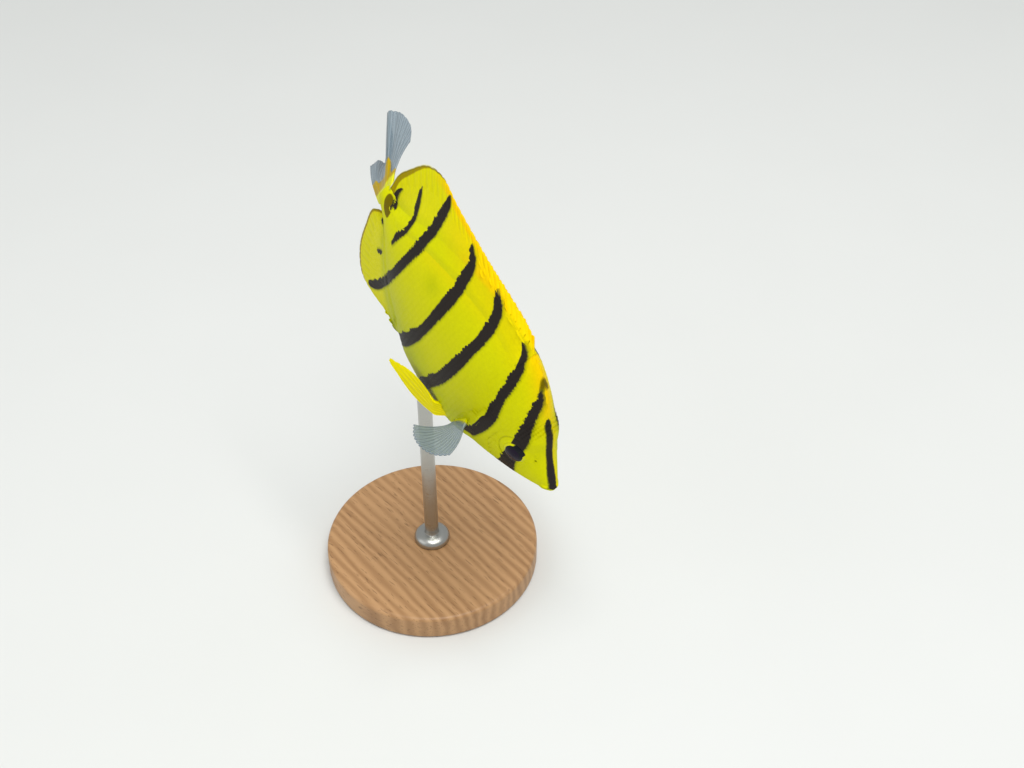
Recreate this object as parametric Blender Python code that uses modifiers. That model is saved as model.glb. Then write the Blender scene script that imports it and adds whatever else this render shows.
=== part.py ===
"""Eightband butterflyfish, a still life-size model on a plain display stand.

The fish hangs head down at the angle of a fish that picks at coral, its tail swung to its left.
Fish frame: X towards the snout, Y towards its left side, Z towards its back, all in metres.
World frame: +Z up, origin at the centre of the underside of the base.
"""
import math

import bmesh
import bpy
import numpy as np

# Driving dimensions, in metres
STANDARD_LENGTH = 0.085      # snout to the root of the tail fin
BODY_HEIGHT = 0.092          # middle of the body above the floor
GAP = 0.0003                 # clearance between pieces that touch
MEMBRANE = 0.0005            # thickness of a fin between its rays
RAY = 0.00085                # thickness of a fin over a ray
SHEATH = 0.0017              # thickness of a fin at its scaly root
BASE_RADIUS = 0.031
BASE_THICKNESS = 0.008
BASE_BEVEL = 0.0012
ROD_RADIUS = 0.002
ROD_FOOT_RADIUS = 0.0052
ROD_FOOT_HEIGHT = 0.0022

# Pose, in degrees
NOSE_DOWN = 35.5

# Places along the body, in standard lengths from the snout
MIDDLE = 0.50                # middle of the body, the fish frame's origin
BEND_START = 0.55            # the tail swings aside behind this place
BEND_SIDE = 0.078            # sideways shift at the root of the tail fin
TAIL_CUT = 0.885             # where the tail stem is parted from the torso
ROD_PLACE = 0.50             # where the rod meets the belly

# Body outline: place along the body, then height of the back, of the belly, and half width
OUTLINE = [
    (0.000, 0.012, -0.018, 0.013),
    (0.012, 0.024, -0.031, 0.023),
    (0.030, 0.040, -0.046, 0.033),
    (0.060, 0.069, -0.069, 0.047),
    (0.100, 0.114, -0.101, 0.062),
    (0.150, 0.173, -0.142, 0.075),
    (0.200, 0.228, -0.182, 0.083),
    (0.250, 0.271, -0.219, 0.087),
    (0.300, 0.302, -0.262, 0.090),
    (0.350, 0.320, -0.288, 0.091),
    (0.420, 0.330, -0.306, 0.089),
    (0.500, 0.329, -0.312, 0.083),
    (0.600, 0.309, -0.297, 0.073),
    (0.700, 0.266, -0.258, 0.061),
    (0.800, 0.198, -0.197, 0.048),
    (0.880, 0.118, -0.120, 0.036),
    (0.940, 0.066, -0.067, 0.026),
    (1.000, 0.056, -0.054, 0.019),
]
CREST_SHARPNESS = 0.25       # 0 gives oval sections, more draws back and belly to an edge
CREST_START = 0.25           # in front of this place the sections round off towards the snout
FIN_SHARPNESS = 0.50         # more of it where a fin carries the body's edge on
BACK_DRAWN = (0.30, 0.46)    # places between which the back takes on that edge
BELLY_DRAWN = (0.58, 0.72)

# Eyes and face, in standard lengths
EYE_PLACE = (0.146, 0.045)   # place along the body and height
EYE_RADIUS = 0.035           # of the part that shows
EYE_BALL = (0.041, 0.020)    # radius in the face's plane, and along the eye's axis
EYE_SINK = 0.0115            # centre of the ball below the face
RIM_RADIUS = 0.0056
NOSTRILS = [(0.091, 0.069), (0.100, 0.084)]
NOSTRIL_RADIUS = 0.0042
FACE_STEP = 0.004            # reach over which the slope of the face is taken
MOUTH_HEIGHT = -0.003
MOUTH_SLOPE = -0.50
MOUTH_DEPTH = 0.032
MOUTH_OPEN = 0.0045
LIP_RADIUS = 0.0088

# Gill cover, in standard lengths; its parts run from 0 at the snout to 1 at its rear edge
GILL_EDGE = 0.262            # place of the rear edge above the cover
GILL_BULGE = 0.030           # how far the edge bows back at the height of the pectoral fin
GILL_THROAT = 0.062          # how far the edge runs forward under the throat
COVER_STEP = 0.0045          # the rear edge stands this proud of the body
COVER_START = 0.80           # part at which the cover begins to rise
COVER_FOLD = 0.76            # part at which a shallow fold runs down the cheek

# Fins: outlines as (part of the way along the fin, place along the body, height)
DORSAL_BASE = (0.335, 0.940)
DORSAL_EDGE = [
    (0.00, 0.375, 0.344),
    (0.12, 0.445, 0.350),
    (0.26, 0.555, 0.358),
    (0.42, 0.690, 0.362),
    (0.56, 0.800, 0.355),
    (0.70, 0.890, 0.345),
    (0.80, 0.950, 0.295),
    (0.89, 0.980, 0.213),
    (0.95, 0.994, 0.148),
    (1.00, 0.982, 0.096),
]
DORSAL_SPINES = 11
DORSAL_RAYS = 29
ANAL_BASE = (0.655, 0.925)
ANAL_EDGE = [
    (0.00, 0.692, -0.284),
    (0.12, 0.750, -0.308),
    (0.28, 0.832, -0.354),
    (0.45, 0.915, -0.374),
    (0.62, 0.980, -0.326),
    (0.80, 1.014, -0.236),
    (0.92, 1.016, -0.166),
    (1.00, 1.000, -0.112),
]
ANAL_SPINES = 3
ANAL_RAYS = 19
SPINE_NOTCH = 0.007          # dip of the edge between two spines
RAY_NOTCH = 0.003            # dip of the edge between two soft rays
FIN_BOW = 0.040              # how far a spine or ray bows back, as a part of its slant
FIN_LEAN = 0.014             # sideways shift of the dorsal and anal fins' edges, to the left
DORSAL_FOLD = 3.0            # how much further the last rays lean, to the other side
ANAL_FOLD = 2.0
CAUDAL_RAYS = 17
CAUDAL_STEPS = 28            # steps of each ray's path, of which every fourth carries points
# The tail fin's rays from the lowest to the highest; its two lobes part at 0.4. For each ray: degrees
# upwards, length, degrees aside at the tip, and how soon it takes on that swing.
CAUDAL_SPREAD = [(0.0, -34.0), (0.2, -32.5), (0.38, -32.0), (0.48, -7.5), (0.65, 1.5), (0.8, 5.0), (1.0, 14.0)]
CAUDAL_LENGTH = [(0.0, 0.245), (0.2, 0.265), (0.38, 0.290), (0.48, 0.300), (0.65, 0.285), (0.8, 0.255),
                 (0.9, 0.215), (1.0, 0.160)]
CAUDAL_SWING = [(0.0, 48.0), (0.2, 58.0), (0.38, 68.0), (0.48, 41.5), (0.65, 42.5), (0.8, 51.5), (0.9, 60.0),
                (1.0, 67.0)]
CAUDAL_TURN = [(0.0, 0.60), (0.38, 0.50), (0.48, 0.15), (0.8, 0.25), (1.0, 0.50)]
PECTORAL_RAYS = 14
PECTORAL_BASE = [(0.304, -0.062), (0.322, -0.134)]
PECTORAL_LENGTH = [(0.0, 0.185), (0.3, 0.230), (0.65, 0.235), (1.0, 0.195)]
PECTORAL_CURVE = 14.0        # degrees that the fin turns back towards its tip
# Degrees of the first and the last ray: away from the body's long axis, and upwards
PECTORAL_OUT = {"right": (127.0, 86.0), "left": (26.0, 40.0)}
PECTORAL_UP = {"right": (31.0, 29.0), "left": (8.0, -26.0)}
PELVIC_RAYS = 6
PELVIC_BASE = [(0.362, -0.214), (0.395, -0.180)]
PELVIC_LENGTH = [(0.0, 0.195), (0.25, 0.240), (0.6, 0.200), (1.0, 0.145)]
PELVIC_OUT = (7.0, 0.0)
PELVIC_UP = (-14.0, -10.0)
PELVIC_CURVE = 2.0
PELVIC_BOW = 28.0            # degrees that the outer rays spread at the root before they close again
PECTORAL_LIFT = 0.0009       # metres between the flank and the middle of a fin's root
PELVIC_LIFT = 0.0012

BODY_SIDES = 40
HEAD_RINGS = [0.0, 0.035, 0.075, 0.12, 0.17, 0.225, 0.28, 0.34, 0.40, 0.46, 0.52, 0.58, 0.64, 0.70,
              0.76, 0.82, 0.88, 0.94, 1.0]
TORSO_RINGS = 24
TAIL_RINGS = 7
FIN_ROWS = 7                 # points along each ray of the dorsal and anal fins
PAIRED_ROWS = 6              # points along each ray of the pectoral and pelvic fins

COLOURS = {
    "head": ((0.78, 0.74, 0.02), 0.35, 0.0),
    "torso": ((0.80, 0.76, 0.02), 0.35, 0.0),
    "tail_stem": ((0.72, 0.64, 0.03), 0.35, 0.0),
    "eye_right": ((0.03, 0.025, 0.04), 0.08, 0.0),
    "eye_left": ((0.03, 0.025, 0.04), 0.08, 0.0),
    "dorsal_fin": ((0.86, 0.70, 0.02), 0.4, 0.0),
    "anal_fin": ((0.82, 0.76, 0.02), 0.4, 0.0),
    "caudal_fin": ((0.55, 0.60, 0.62), 0.3, 0.0),
    "pectoral_fin_right": ((0.62, 0.66, 0.60), 0.3, 0.0),
    "pectoral_fin_left": ((0.62, 0.66, 0.60), 0.3, 0.0),
    "pelvic_fin_right": ((0.90, 0.84, 0.02), 0.4, 0.0),
    "pelvic_fin_left": ((0.90, 0.84, 0.02), 0.4, 0.0),
    "stand_base": ((0.62, 0.48, 0.33), 0.5, 0.0),
    "stand_rod": ((0.62, 0.62, 0.60), 0.3, 1.0),
}


def smooth(points, x, column=1):
    """Cubic curve through the points' chosen column, with no overshoot at the ends."""
    table = np.array(points, dtype=float)
    px = table[:, 0]
    py = table[:, column]
    slope = np.gradient(py, px)
    x = np.clip(np.asarray(x, dtype=float), px[0], px[-1])
    k = np.clip(np.searchsorted(px, x, side="right") - 1, 0, len(px) - 2)
    span = px[k + 1] - px[k]
    t = (x - px[k]) / span
    return ((2 * t ** 3 - 3 * t ** 2 + 1) * py[k] + (t ** 3 - 2 * t ** 2 + t) * span * slope[k]
            + (3 * t ** 2 - 2 * t ** 3) * py[k + 1] + (t ** 3 - t ** 2) * span * slope[k + 1])


def back(x):
    return smooth(OUTLINE, x, 1)


def belly(x):
    return smooth(OUTLINE, x, 2)


def half_width(x):
    return smooth(OUTLINE, x, 3)


def ramp(x, ends):
    """Rises smoothly from 0 to 1 between two places."""
    t = np.clip((np.asarray(x, dtype=float) - ends[0]) / (ends[1] - ends[0]), 0.0, 1.0)
    return t * t * (3 - 2 * t)


def sharpness(x, s):
    """Exponent of the sections: oval at the snout, drawn to an edge along back and belly.

    s is the height in the section, from -1 at the belly to 1 at the back.
    """
    fin = np.where(s > 0, ramp(x, BACK_DRAWN), ramp(x, BELLY_DRAWN))
    return 1.0 + CREST_SHARPNESS * np.clip(np.asarray(x) / CREST_START, 0.0, 1.0) + FIN_SHARPNESS * fin


def width_at(x, z):
    """Half width of the body at a height, in standard lengths."""
    middle = (back(x) + belly(x)) / 2
    half = (back(x) - belly(x)) / 2
    s = np.clip((z - middle) / half, -1.0, 1.0)
    return half_width(x) * (1.0 - s * s) ** (0.5 * sharpness(x, s))


def section(x, angle):
    """Points of the body's skin, in standard lengths: place, left, up."""
    middle = (back(x) + belly(x)) / 2
    half = (back(x) - belly(x)) / 2
    c = np.cos(angle)
    y = half_width(x) * np.sign(c) * np.abs(c) ** sharpness(x, np.sin(angle))
    return np.stack(np.broadcast_arrays(x, y, middle + half * np.sin(angle)), axis=-1)


def bend(points):
    """Swings the rear of the body to its left."""
    p = np.array(points, dtype=float)
    reach = 1.0 - BEND_START
    u = np.clip((p[..., 0] - BEND_START) / reach, 0.0, None)
    turn = np.arctan(2 * BEND_SIDE * u / reach)
    out = p.copy()
    out[..., 0] = p[..., 0] + p[..., 1] * np.sin(turn) * -1.0
    out[..., 1] = BEND_SIDE * u * u + p[..., 1] * np.cos(turn)
    return out


def metres(points):
    """Standard lengths from the snout to metres in the fish frame."""
    p = bend(points)
    out = p * STANDARD_LENGTH
    out[..., 0] = (MIDDLE - p[..., 0]) * STANDARD_LENGTH
    return out


def gill_edge(angle):
    """Place of the gill cover's rear edge round a section, in standard lengths."""
    s = np.sin(angle)
    bulge = np.exp(-((s + 0.08) / 0.30) ** 2)
    throat = np.clip((-0.25 - s) / 0.75, 0.0, 1.0)
    return GILL_EDGE + GILL_BULGE * bulge - GILL_THROAT * throat ** 1.3


def head_section(part, angle):
    """Section of the head at a part of the way to the gill edge, with the gill cover raised."""
    points = section(gill_edge(angle) * part, angle)
    cheek = np.exp(-((np.sin(angle) + 0.25) / 0.45) ** 4)
    rise = np.clip((part - COVER_START) / (1.0 - COVER_START), 0.0, 1.0) ** 1.5
    fold = 0.6 * np.exp(-((part - COVER_FOLD) / 0.035) ** 2)
    points[..., 1] += np.sign(np.cos(angle)) * cheek * COVER_STEP * (rise - fold)
    return points


def new_object(name, verts, faces, collection):
    mesh = bpy.data.meshes.new(name)
    mesh.from_pydata([tuple(v) for v in verts], [], faces)
    bm = bmesh.new()
    bm.from_mesh(mesh)
    bmesh.ops.recalc_face_normals(bm, faces=bm.faces)
    bm.to_mesh(mesh)
    bm.free()
    obj = bpy.data.objects.new(name, mesh)
    collection.objects.link(obj)
    return obj


def ring_solid(name, rings, collection):
    """A closed solid through rings of points, each end closed by a fan."""
    rings = np.asarray(rings)
    count, sides = rings.shape[:2]
    verts = [tuple(p) for ring in rings for p in ring]
    faces = []
    for i in range(count - 1):
        for j in range(sides):
            k = (j + 1) % sides
            faces.append((i * sides + j, i * sides + k, (i + 1) * sides + k, (i + 1) * sides + j))
    for i in (0, count - 1):
        verts.append(tuple(rings[i].mean(axis=0)))
        centre = len(verts) - 1
        for j in range(sides):
            faces.append((i * sides + j, i * sides + (j + 1) % sides, centre))
    return new_object(name, verts, faces, collection)


def sheet_solid(name, middle, thickness, collection):
    """A closed sheet about a grid of points, with the same diagonals on both faces."""
    middle = np.asarray(middle)
    along = np.gradient(middle, axis=0)
    across = np.gradient(middle, axis=1)
    normal = np.cross(along, across)
    normal /= np.linalg.norm(normal, axis=2, keepdims=True)
    offset = normal * (np.asarray(thickness)[..., None] / 2)
    rows, cols = middle.shape[:2]
    verts = [tuple(p) for p in (middle + offset).reshape(-1, 3)]
    verts += [tuple(p) for p in (middle - offset).reshape(-1, 3)]
    back_face = rows * cols
    faces = []
    for i in range(rows - 1):
        for j in range(cols - 1):
            a, b = i * cols + j, i * cols + j + 1
            c, d = a + cols, b + cols
            for s in (0, back_face):
                faces += [(a + s, b + s, d + s), (a + s, d + s, c + s)]
    border = [i * cols for i in range(rows)]
    border += [(rows - 1) * cols + j for j in range(1, cols)]
    border += [i * cols + cols - 1 for i in range(rows - 2, -1, -1)]
    border += [j for j in range(cols - 2, 0, -1)]
    for a, b in zip(border, border[1:] + border[:1]):
        faces += [(a, b, b + back_face), (a, b + back_face, a + back_face)]
    return new_object(name, verts, faces, collection)


def ray_thickness(columns, rows, ridge, sheath_end):
    """Thickness over a fin's grid: ridges at every second column, a thick sheath at the root."""
    t = np.linspace(0.0, 1.0, rows)
    root = np.clip(1.0 - t / sheath_end, 0.0, 1.0) ** 1.5
    even = (np.arange(columns) % 2 == 0).astype(float)
    plain = MEMBRANE + (np.asarray(ridge) - MEMBRANE) * even
    return plain[:, None] * (1 - root) + SHEATH * root


def apply_boolean(obj, operation, operands):
    """Joins to obj, or cuts from it, a collection of closed objects, which are then removed."""
    group = bpy.data.collections.new(obj.name + "_operands")
    for operand in operands:
        group.objects.link(operand)
    modifier = obj.modifiers.new("boolean", "BOOLEAN")
    modifier.operation = operation
    modifier.operand_type = "COLLECTION"
    modifier.collection = group
    modifier.solver = "EXACT"
    graph = bpy.context.evaluated_depsgraph_get()
    mesh = bpy.data.meshes.new_from_object(obj.evaluated_get(graph))
    obj.modifiers.clear()
    obj.data = mesh
    for operand in operands:
        bpy.data.objects.remove(operand)
    bpy.data.collections.remove(group)


def keep_largest(obj):
    """Keeps only the object's largest closed surface."""
    bm = bmesh.new()
    bm.from_mesh(obj.data)
    bm.faces.ensure_lookup_table()
    seen = set()
    pieces = []
    for start in bm.faces:
        if start.index in seen:
            continue
        seen.add(start.index)
        piece = [start]
        for face in piece:
            for edge in face.edges:
                for other in edge.link_faces:
                    if other.index not in seen:
                        seen.add(other.index)
                        piece.append(other)
        pieces.append(piece)
    pieces.sort(key=lambda piece: sum(face.calc_area() for face in piece))
    for piece in pieces[:-1]:
        bmesh.ops.delete(bm, geom=piece, context="FACES")
    loose = [v for v in bm.verts if not v.link_faces]
    bmesh.ops.delete(bm, geom=loose, context="VERTS")
    bm.to_mesh(obj.data)
    bm.free()


def face_frame(x, z, side):
    """Point on the flank with its outward normal and the two directions across it."""
    step = FACE_STEP

    def point(px, pz):
        return metres(np.array([px, side * width_at(px, pz), pz]))

    centre = point(x, z)
    forward = point(x - step, z) - point(x + step, z)
    up = point(x, z + step) - point(x, z - step)
    forward /= np.linalg.norm(forward)
    normal = np.cross(forward, up) * -side
    normal /= np.linalg.norm(normal)
    up = np.cross(normal, forward) * -side
    return centre, normal, forward, up / np.linalg.norm(up)


def ellipsoid(name, centre, frame, radii, segments, collection):
    """An ellipsoid whose axes are the three directions of frame."""
    bm = bmesh.new()
    bmesh.ops.create_uvsphere(bm, u_segments=segments, v_segments=segments // 2, radius=1.0)
    verts = [centre + sum(v.co[i] * radii[i] * frame[i] for i in range(3)) for v in bm.verts]
    faces = [tuple(v.index for v in face.verts) for face in bm.faces]
    bm.free()
    return new_object(name, verts, faces, collection)


def tube(name, path, radii, frame, sides, collection):
    """A closed tube along a path; frame gives a direction that is never along the path."""
    path = np.asarray(path)
    along = np.gradient(path, axis=0)
    along /= np.linalg.norm(along, axis=1, keepdims=True)
    first = np.cross(along, frame)
    first /= np.linalg.norm(first, axis=1, keepdims=True)
    second = np.cross(along, first)
    angle = np.arange(sides) * 2 * math.pi / sides
    radii = np.broadcast_to(np.asarray(radii, dtype=float), (len(path),))
    ring = (np.cos(angle)[None, :, None] * first[:, None] + np.sin(angle)[None, :, None] * second[:, None])
    return ring_solid(name, path[:, None] + ring * radii[:, None, None], collection)


def eye_frame(side):
    centre, normal, forward, up = face_frame(*EYE_PLACE, side)
    return centre - normal * EYE_SINK * STANDARD_LENGTH, normal, forward, up


def make_eye(name, side, collection):
    centre, normal, forward, up = eye_frame(side)
    flat = EYE_BALL[0] * STANDARD_LENGTH
    deep = EYE_BALL[1] * STANDARD_LENGTH
    return ellipsoid(name, centre, (forward, up, normal), (flat, flat, deep), 20, collection)


def orbit_rim(side, collection):
    centre, normal, forward, up = face_frame(*EYE_PLACE, side)
    radius = (EYE_RADIUS + 0.6 * RIM_RADIUS) * STANDARD_LENGTH
    thick = RIM_RADIUS * STANDARD_LENGTH
    steps, sides = 28, 8
    verts, faces = [], []
    for i in range(steps):
        a = 2 * math.pi * i / steps
        out = math.cos(a) * forward + math.sin(a) * up
        for j in range(sides):
            b = 2 * math.pi * j / sides
            verts.append(centre + out * (radius + thick * math.cos(b)) + normal * thick * (math.sin(b) - 0.45))
            k, m = (i + 1) % steps, (j + 1) % sides
            faces.append((i * sides + j, k * sides + j, k * sides + m, i * sides + m))
    return new_object("orbit_rim", verts, faces, collection)


def lip(side_up, collection):
    """A lip: a tube bent round the tip of the snout, thinning towards the corners of the mouth."""
    t = np.linspace(-1.0, 1.0, 15)
    x = 0.001 + MOUTH_DEPTH * np.abs(t) ** 1.8
    y = 0.93 * half_width(x) * np.sin(t * math.pi / 2)
    height = LIP_RADIUS * (1.0 - 0.62 * np.abs(t) ** 2)
    z = MOUTH_HEIGHT + MOUTH_SLOPE * x + side_up * (0.8 * height + MOUTH_OPEN / 2)
    path = metres(np.stack([x, y, z], axis=-1))
    name = "upper_lip" if side_up > 0 else "lower_lip"
    return tube(name, path, height * STANDARD_LENGTH, np.array([0.0, 0.0, 1.0]), 8, collection)


def mouth_slit(collection):
    """A thin wedge that opens the mouth between the lips."""
    t = np.linspace(0.0, 1.0, 5)
    rings = []
    for part in t:
        x = -0.03 + (MOUTH_DEPTH + 0.026) * part
        reach = 0.06 * (1.0 - 0.4 * part ** 4)
        thick = MOUTH_OPEN * (1.0 - 0.55 * part) / 2
        z = MOUTH_HEIGHT + MOUTH_SLOPE * x
        rings.append([(x, -reach, z - thick), (x, reach, z - thick), (x, reach, z + thick), (x, -reach, z + thick)])
    return ring_solid("mouth_slit", metres(np.array(rings)), collection)


def make_head(collection, cutters):
    angle = np.arange(BODY_SIDES) * 2 * math.pi / BODY_SIDES
    rings = [metres(head_section(part, angle)) for part in HEAD_RINGS]
    head = ring_solid("head", rings, collection)
    additions = [orbit_rim(-1, cutters), orbit_rim(1, cutters), lip(1, cutters), lip(-1, cutters)]
    apply_boolean(head, "UNION", additions)
    cuts = [mouth_slit(cutters)]
    for side in (-1, 1):
        centre, normal, forward, up = eye_frame(side)
        flat = EYE_BALL[0] * STANDARD_LENGTH + GAP
        deep = EYE_BALL[1] * STANDARD_LENGTH + GAP
        cuts.append(ellipsoid("socket", centre, (forward, up, normal), (flat, flat, deep), 20, cutters))
        for x, z in NOSTRILS:
            centre, normal, forward, up = face_frame(x, z, side)
            size = NOSTRIL_RADIUS * STANDARD_LENGTH
            cuts.append(ellipsoid("nostril", centre, (forward, up, normal), (size, size, 1.6 * size), 8, cutters))
    apply_boolean(head, "DIFFERENCE", cuts)
    keep_largest(head)
    return head


def make_torso(collection):
    angle = np.arange(BODY_SIDES) * 2 * math.pi / BODY_SIDES
    gap = 1.1 * GAP / STANDARD_LENGTH
    front = gill_edge(angle) + gap
    parts = np.linspace(0.0, 1.0, TORSO_RINGS)
    return ring_solid("torso", [metres(section(front + (TAIL_CUT - front) * t, angle)) for t in parts], collection)


def make_tail_stem(collection):
    angle = np.arange(BODY_SIDES) * 2 * math.pi / BODY_SIDES
    start = TAIL_CUT + GAP / STANDARD_LENGTH
    places = np.linspace(start, 1.0, TAIL_RINGS)
    return ring_solid("tail_stem", [metres(section(np.full_like(angle, x), angle)) for x in places], collection)


def edge_fin(name, base, edge, rays, spines, crest, fold, collection):
    """A dorsal or anal fin, standing on the crest of the back or the keel of the belly."""
    columns = 2 * rays - 1
    u = np.linspace(0.0, 1.0, columns)
    t = np.linspace(0.0, 1.0, FIN_ROWS)
    gap = 1.15 * GAP / STANDARD_LENGTH
    x0 = base[0] + (base[1] - base[0]) * u
    z0 = crest(x0)
    z0 = z0 + np.sign(z0) * gap
    x1 = smooth(edge, u, 1)
    z1 = smooth(edge, u, 2)
    spine_columns = 2 * spines
    even = np.arange(columns) % 2 == 0
    notch = np.where(even, 0.0, np.where(np.arange(columns) < spine_columns, SPINE_NOTCH, RAY_NOTCH))
    z1 = z1 - np.sign(z1) * notch
    bow = FIN_BOW * np.sin(math.pi * t)
    x = x0[:, None] + (x1 - x0)[:, None] * (t - bow)[None]
    z = z0[:, None] + (z1 - z0)[:, None] * t[None]
    y = FIN_LEAN * t[None] ** 1.4 * (1.0 - fold * u ** 8)[:, None]
    middle = metres(np.stack(np.broadcast_arrays(x, y, z), axis=-1))
    ridge = np.where(np.arange(columns) < spine_columns, 1.35 * RAY, RAY)
    thickness = ray_thickness(columns, FIN_ROWS, ridge, 0.75)
    return sheet_solid(name, middle, thickness, collection)


def make_caudal_fin(collection):
    columns = 2 * CAUDAL_RAYS - 1
    u = np.linspace(0.0, 1.0, columns)
    start = metres(np.stack([np.full(columns, 1.0 + 1.1 * GAP / STANDARD_LENGTH), np.zeros(columns),
                             belly(1.0) + (back(1.0) - belly(1.0)) * (0.04 + 0.92 * u)], axis=-1))
    spread = np.radians(smooth(CAUDAL_SPREAD, u))
    swing_root = math.atan(2 * BEND_SIDE / (1.0 - BEND_START))
    swing_tip = np.radians(smooth(CAUDAL_SWING, u))
    length = smooth(CAUDAL_LENGTH, u) * STANDARD_LENGTH
    length = length * np.where(np.arange(columns) % 2 == 0, 1.0, 0.985)
    path = [start]
    for k in range(CAUDAL_STEPS):
        part = (k + 0.5) / CAUDAL_STEPS
        swing = swing_root + (swing_tip - swing_root) * part ** smooth(CAUDAL_TURN, u)
        direction = np.stack([-np.cos(spread) * np.cos(swing), np.cos(spread) * np.sin(swing), np.sin(spread)],
                             axis=-1)
        path.append(path[-1] + direction * (length / CAUDAL_STEPS)[:, None])
    middle = np.swapaxes(np.array(path[::4]), 0, 1)
    thickness = ray_thickness(columns, middle.shape[1], RAY, 0.5)
    return sheet_solid("caudal_fin", middle, thickness, collection)


def between(ends, u):
    return ends[0] + (ends[1] - ends[0]) * u


def paired_fin(name, side, rays, base, length, out, up, curve, bow, lift, collection):
    """A pectoral or pelvic fin; out and up give the angles of its first and its last ray."""
    columns = 2 * rays - 1
    u = np.linspace(0.0, 1.0, columns)
    start = []
    for part in u:
        centre, normal = face_frame(between((base[0][0], base[1][0]), part),
                                    between((base[0][1], base[1][1]), part), side)[:2]
        start.append(centre + normal * lift)
    t = np.linspace(0.0, 1.0, PAIRED_ROWS)
    aside = np.radians(between(out, u)[:, None] - curve * t[None])
    rise = np.radians(between(up, u)[:, None] + bow * (2 * u - 1)[:, None] * (1 - t)[None])
    direction = np.stack(np.broadcast_arrays(-np.cos(rise) * np.cos(aside), side * np.cos(rise) * np.sin(aside),
                                             np.sin(rise)), axis=-1)
    reach = smooth(length, u) * STANDARD_LENGTH * np.where(np.arange(columns) % 2 == 0, 1.0, 0.97)
    middle = np.array(start)[:, None] + direction * (reach[:, None] * t[None])[..., None]
    return sheet_solid(name, middle, ray_thickness(columns, PAIRED_ROWS, RAY, 0.45), collection)


def make_pectoral_fin(name, side, collection):
    way = "left" if side > 0 else "right"
    return paired_fin(name, side, PECTORAL_RAYS, PECTORAL_BASE, PECTORAL_LENGTH, PECTORAL_OUT[way],
                      PECTORAL_UP[way], PECTORAL_CURVE, 0.0, PECTORAL_LIFT, collection)


def make_pelvic_fin(name, side, collection):
    return paired_fin(name, side, PELVIC_RAYS, PELVIC_BASE, PELVIC_LENGTH, PELVIC_OUT, PELVIC_UP,
                      PELVIC_CURVE, PELVIC_BOW, PELVIC_LIFT, collection)


def rod_origin():
    """Where the rod's axis meets the belly, in the fish frame."""
    return metres(np.array([ROD_PLACE, 0.0, float(belly(ROD_PLACE))]))


def fish_offset():
    """Place of the fish frame's origin in the world, with the rod's axis over the world's origin."""
    a = math.radians(NOSE_DOWN)
    meet = rod_origin()
    return np.array([-(meet[0] * math.cos(a) + meet[2] * math.sin(a)), 0.0, BODY_HEIGHT])


def belly_height(x, y):
    """World height of the fish's underside over a point of the floor."""
    a = math.radians(NOSE_DOWN)
    origin = fish_offset()
    low, high = BASE_THICKNESS, BODY_HEIGHT
    for _ in range(40):
        z = (low + high) / 2
        dx, dz = x - origin[0], z - origin[2]
        fish_x = dx * math.cos(a) - dz * math.sin(a)
        fish_z = dx * math.sin(a) + dz * math.cos(a)
        place = MIDDLE - fish_x / STANDARD_LENGTH
        inside = abs(y) / STANDARD_LENGTH < float(width_at(place, fish_z / STANDARD_LENGTH))
        low, high = (low, z) if inside else (z, high)
    return low


def make_stand_rod(collection):
    """A turned rod with a wide foot; its top is hollowed to sit under the belly."""
    sides = 20
    angle = np.arange(sides) * 2 * math.pi / sides
    floor = BASE_THICKNESS + GAP
    profile = [(ROD_FOOT_RADIUS, 0.0), (ROD_FOOT_RADIUS, ROD_FOOT_HEIGHT * 0.6),
               (ROD_FOOT_RADIUS * 0.8, ROD_FOOT_HEIGHT), (ROD_RADIUS * 1.25, ROD_FOOT_HEIGHT * 1.25),
               (ROD_RADIUS, ROD_FOOT_HEIGHT * 2.0)]
    rings = [np.stack([r * np.cos(angle), r * np.sin(angle), np.full(sides, floor + h)], axis=-1)
             for r, h in profile]
    for part in (1.0, 0.75, 0.5, 0.25):
        r = ROD_RADIUS * part
        heights = [belly_height(r * math.cos(a), r * math.sin(a)) - 1.3 * GAP for a in angle]
        rings.append(np.stack([r * np.cos(angle), r * np.sin(angle), heights], axis=-1))
    return ring_solid("stand_rod", np.array(rings), collection)


def make_stand_base(collection):
    bm = bmesh.new()
    bmesh.ops.create_cone(bm, cap_ends=True, segments=64, radius1=BASE_RADIUS, radius2=BASE_RADIUS,
                          depth=BASE_THICKNESS)
    mesh = bpy.data.meshes.new("stand_base")
    bm.to_mesh(mesh)
    bm.free()
    base = bpy.data.objects.new("stand_base", mesh)
    base.location = (0.0, 0.0, BASE_THICKNESS / 2)
    collection.objects.link(base)
    bevel = base.modifiers.new("bevel", "BEVEL")
    bevel.width = BASE_BEVEL
    bevel.segments = 2
    bevel.limit_method = "ANGLE"
    bevel.angle_limit = math.radians(40.0)
    return base


def give_material(obj):
    colour, roughness, metallic = COLOURS[obj.name]
    material = bpy.data.materials.new(obj.name)
    material.use_nodes = True
    shader = material.node_tree.nodes["Principled BSDF"]
    shader.inputs["Base Color"].default_value = (*colour, 1.0)
    shader.inputs["Roughness"].default_value = roughness
    shader.inputs["Metallic"].default_value = metallic
    obj.data.materials.clear()
    obj.data.materials.append(material)
    obj.data.shade_smooth()
    obj.data.set_sharp_from_angle(angle=math.radians(50.0))


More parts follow.
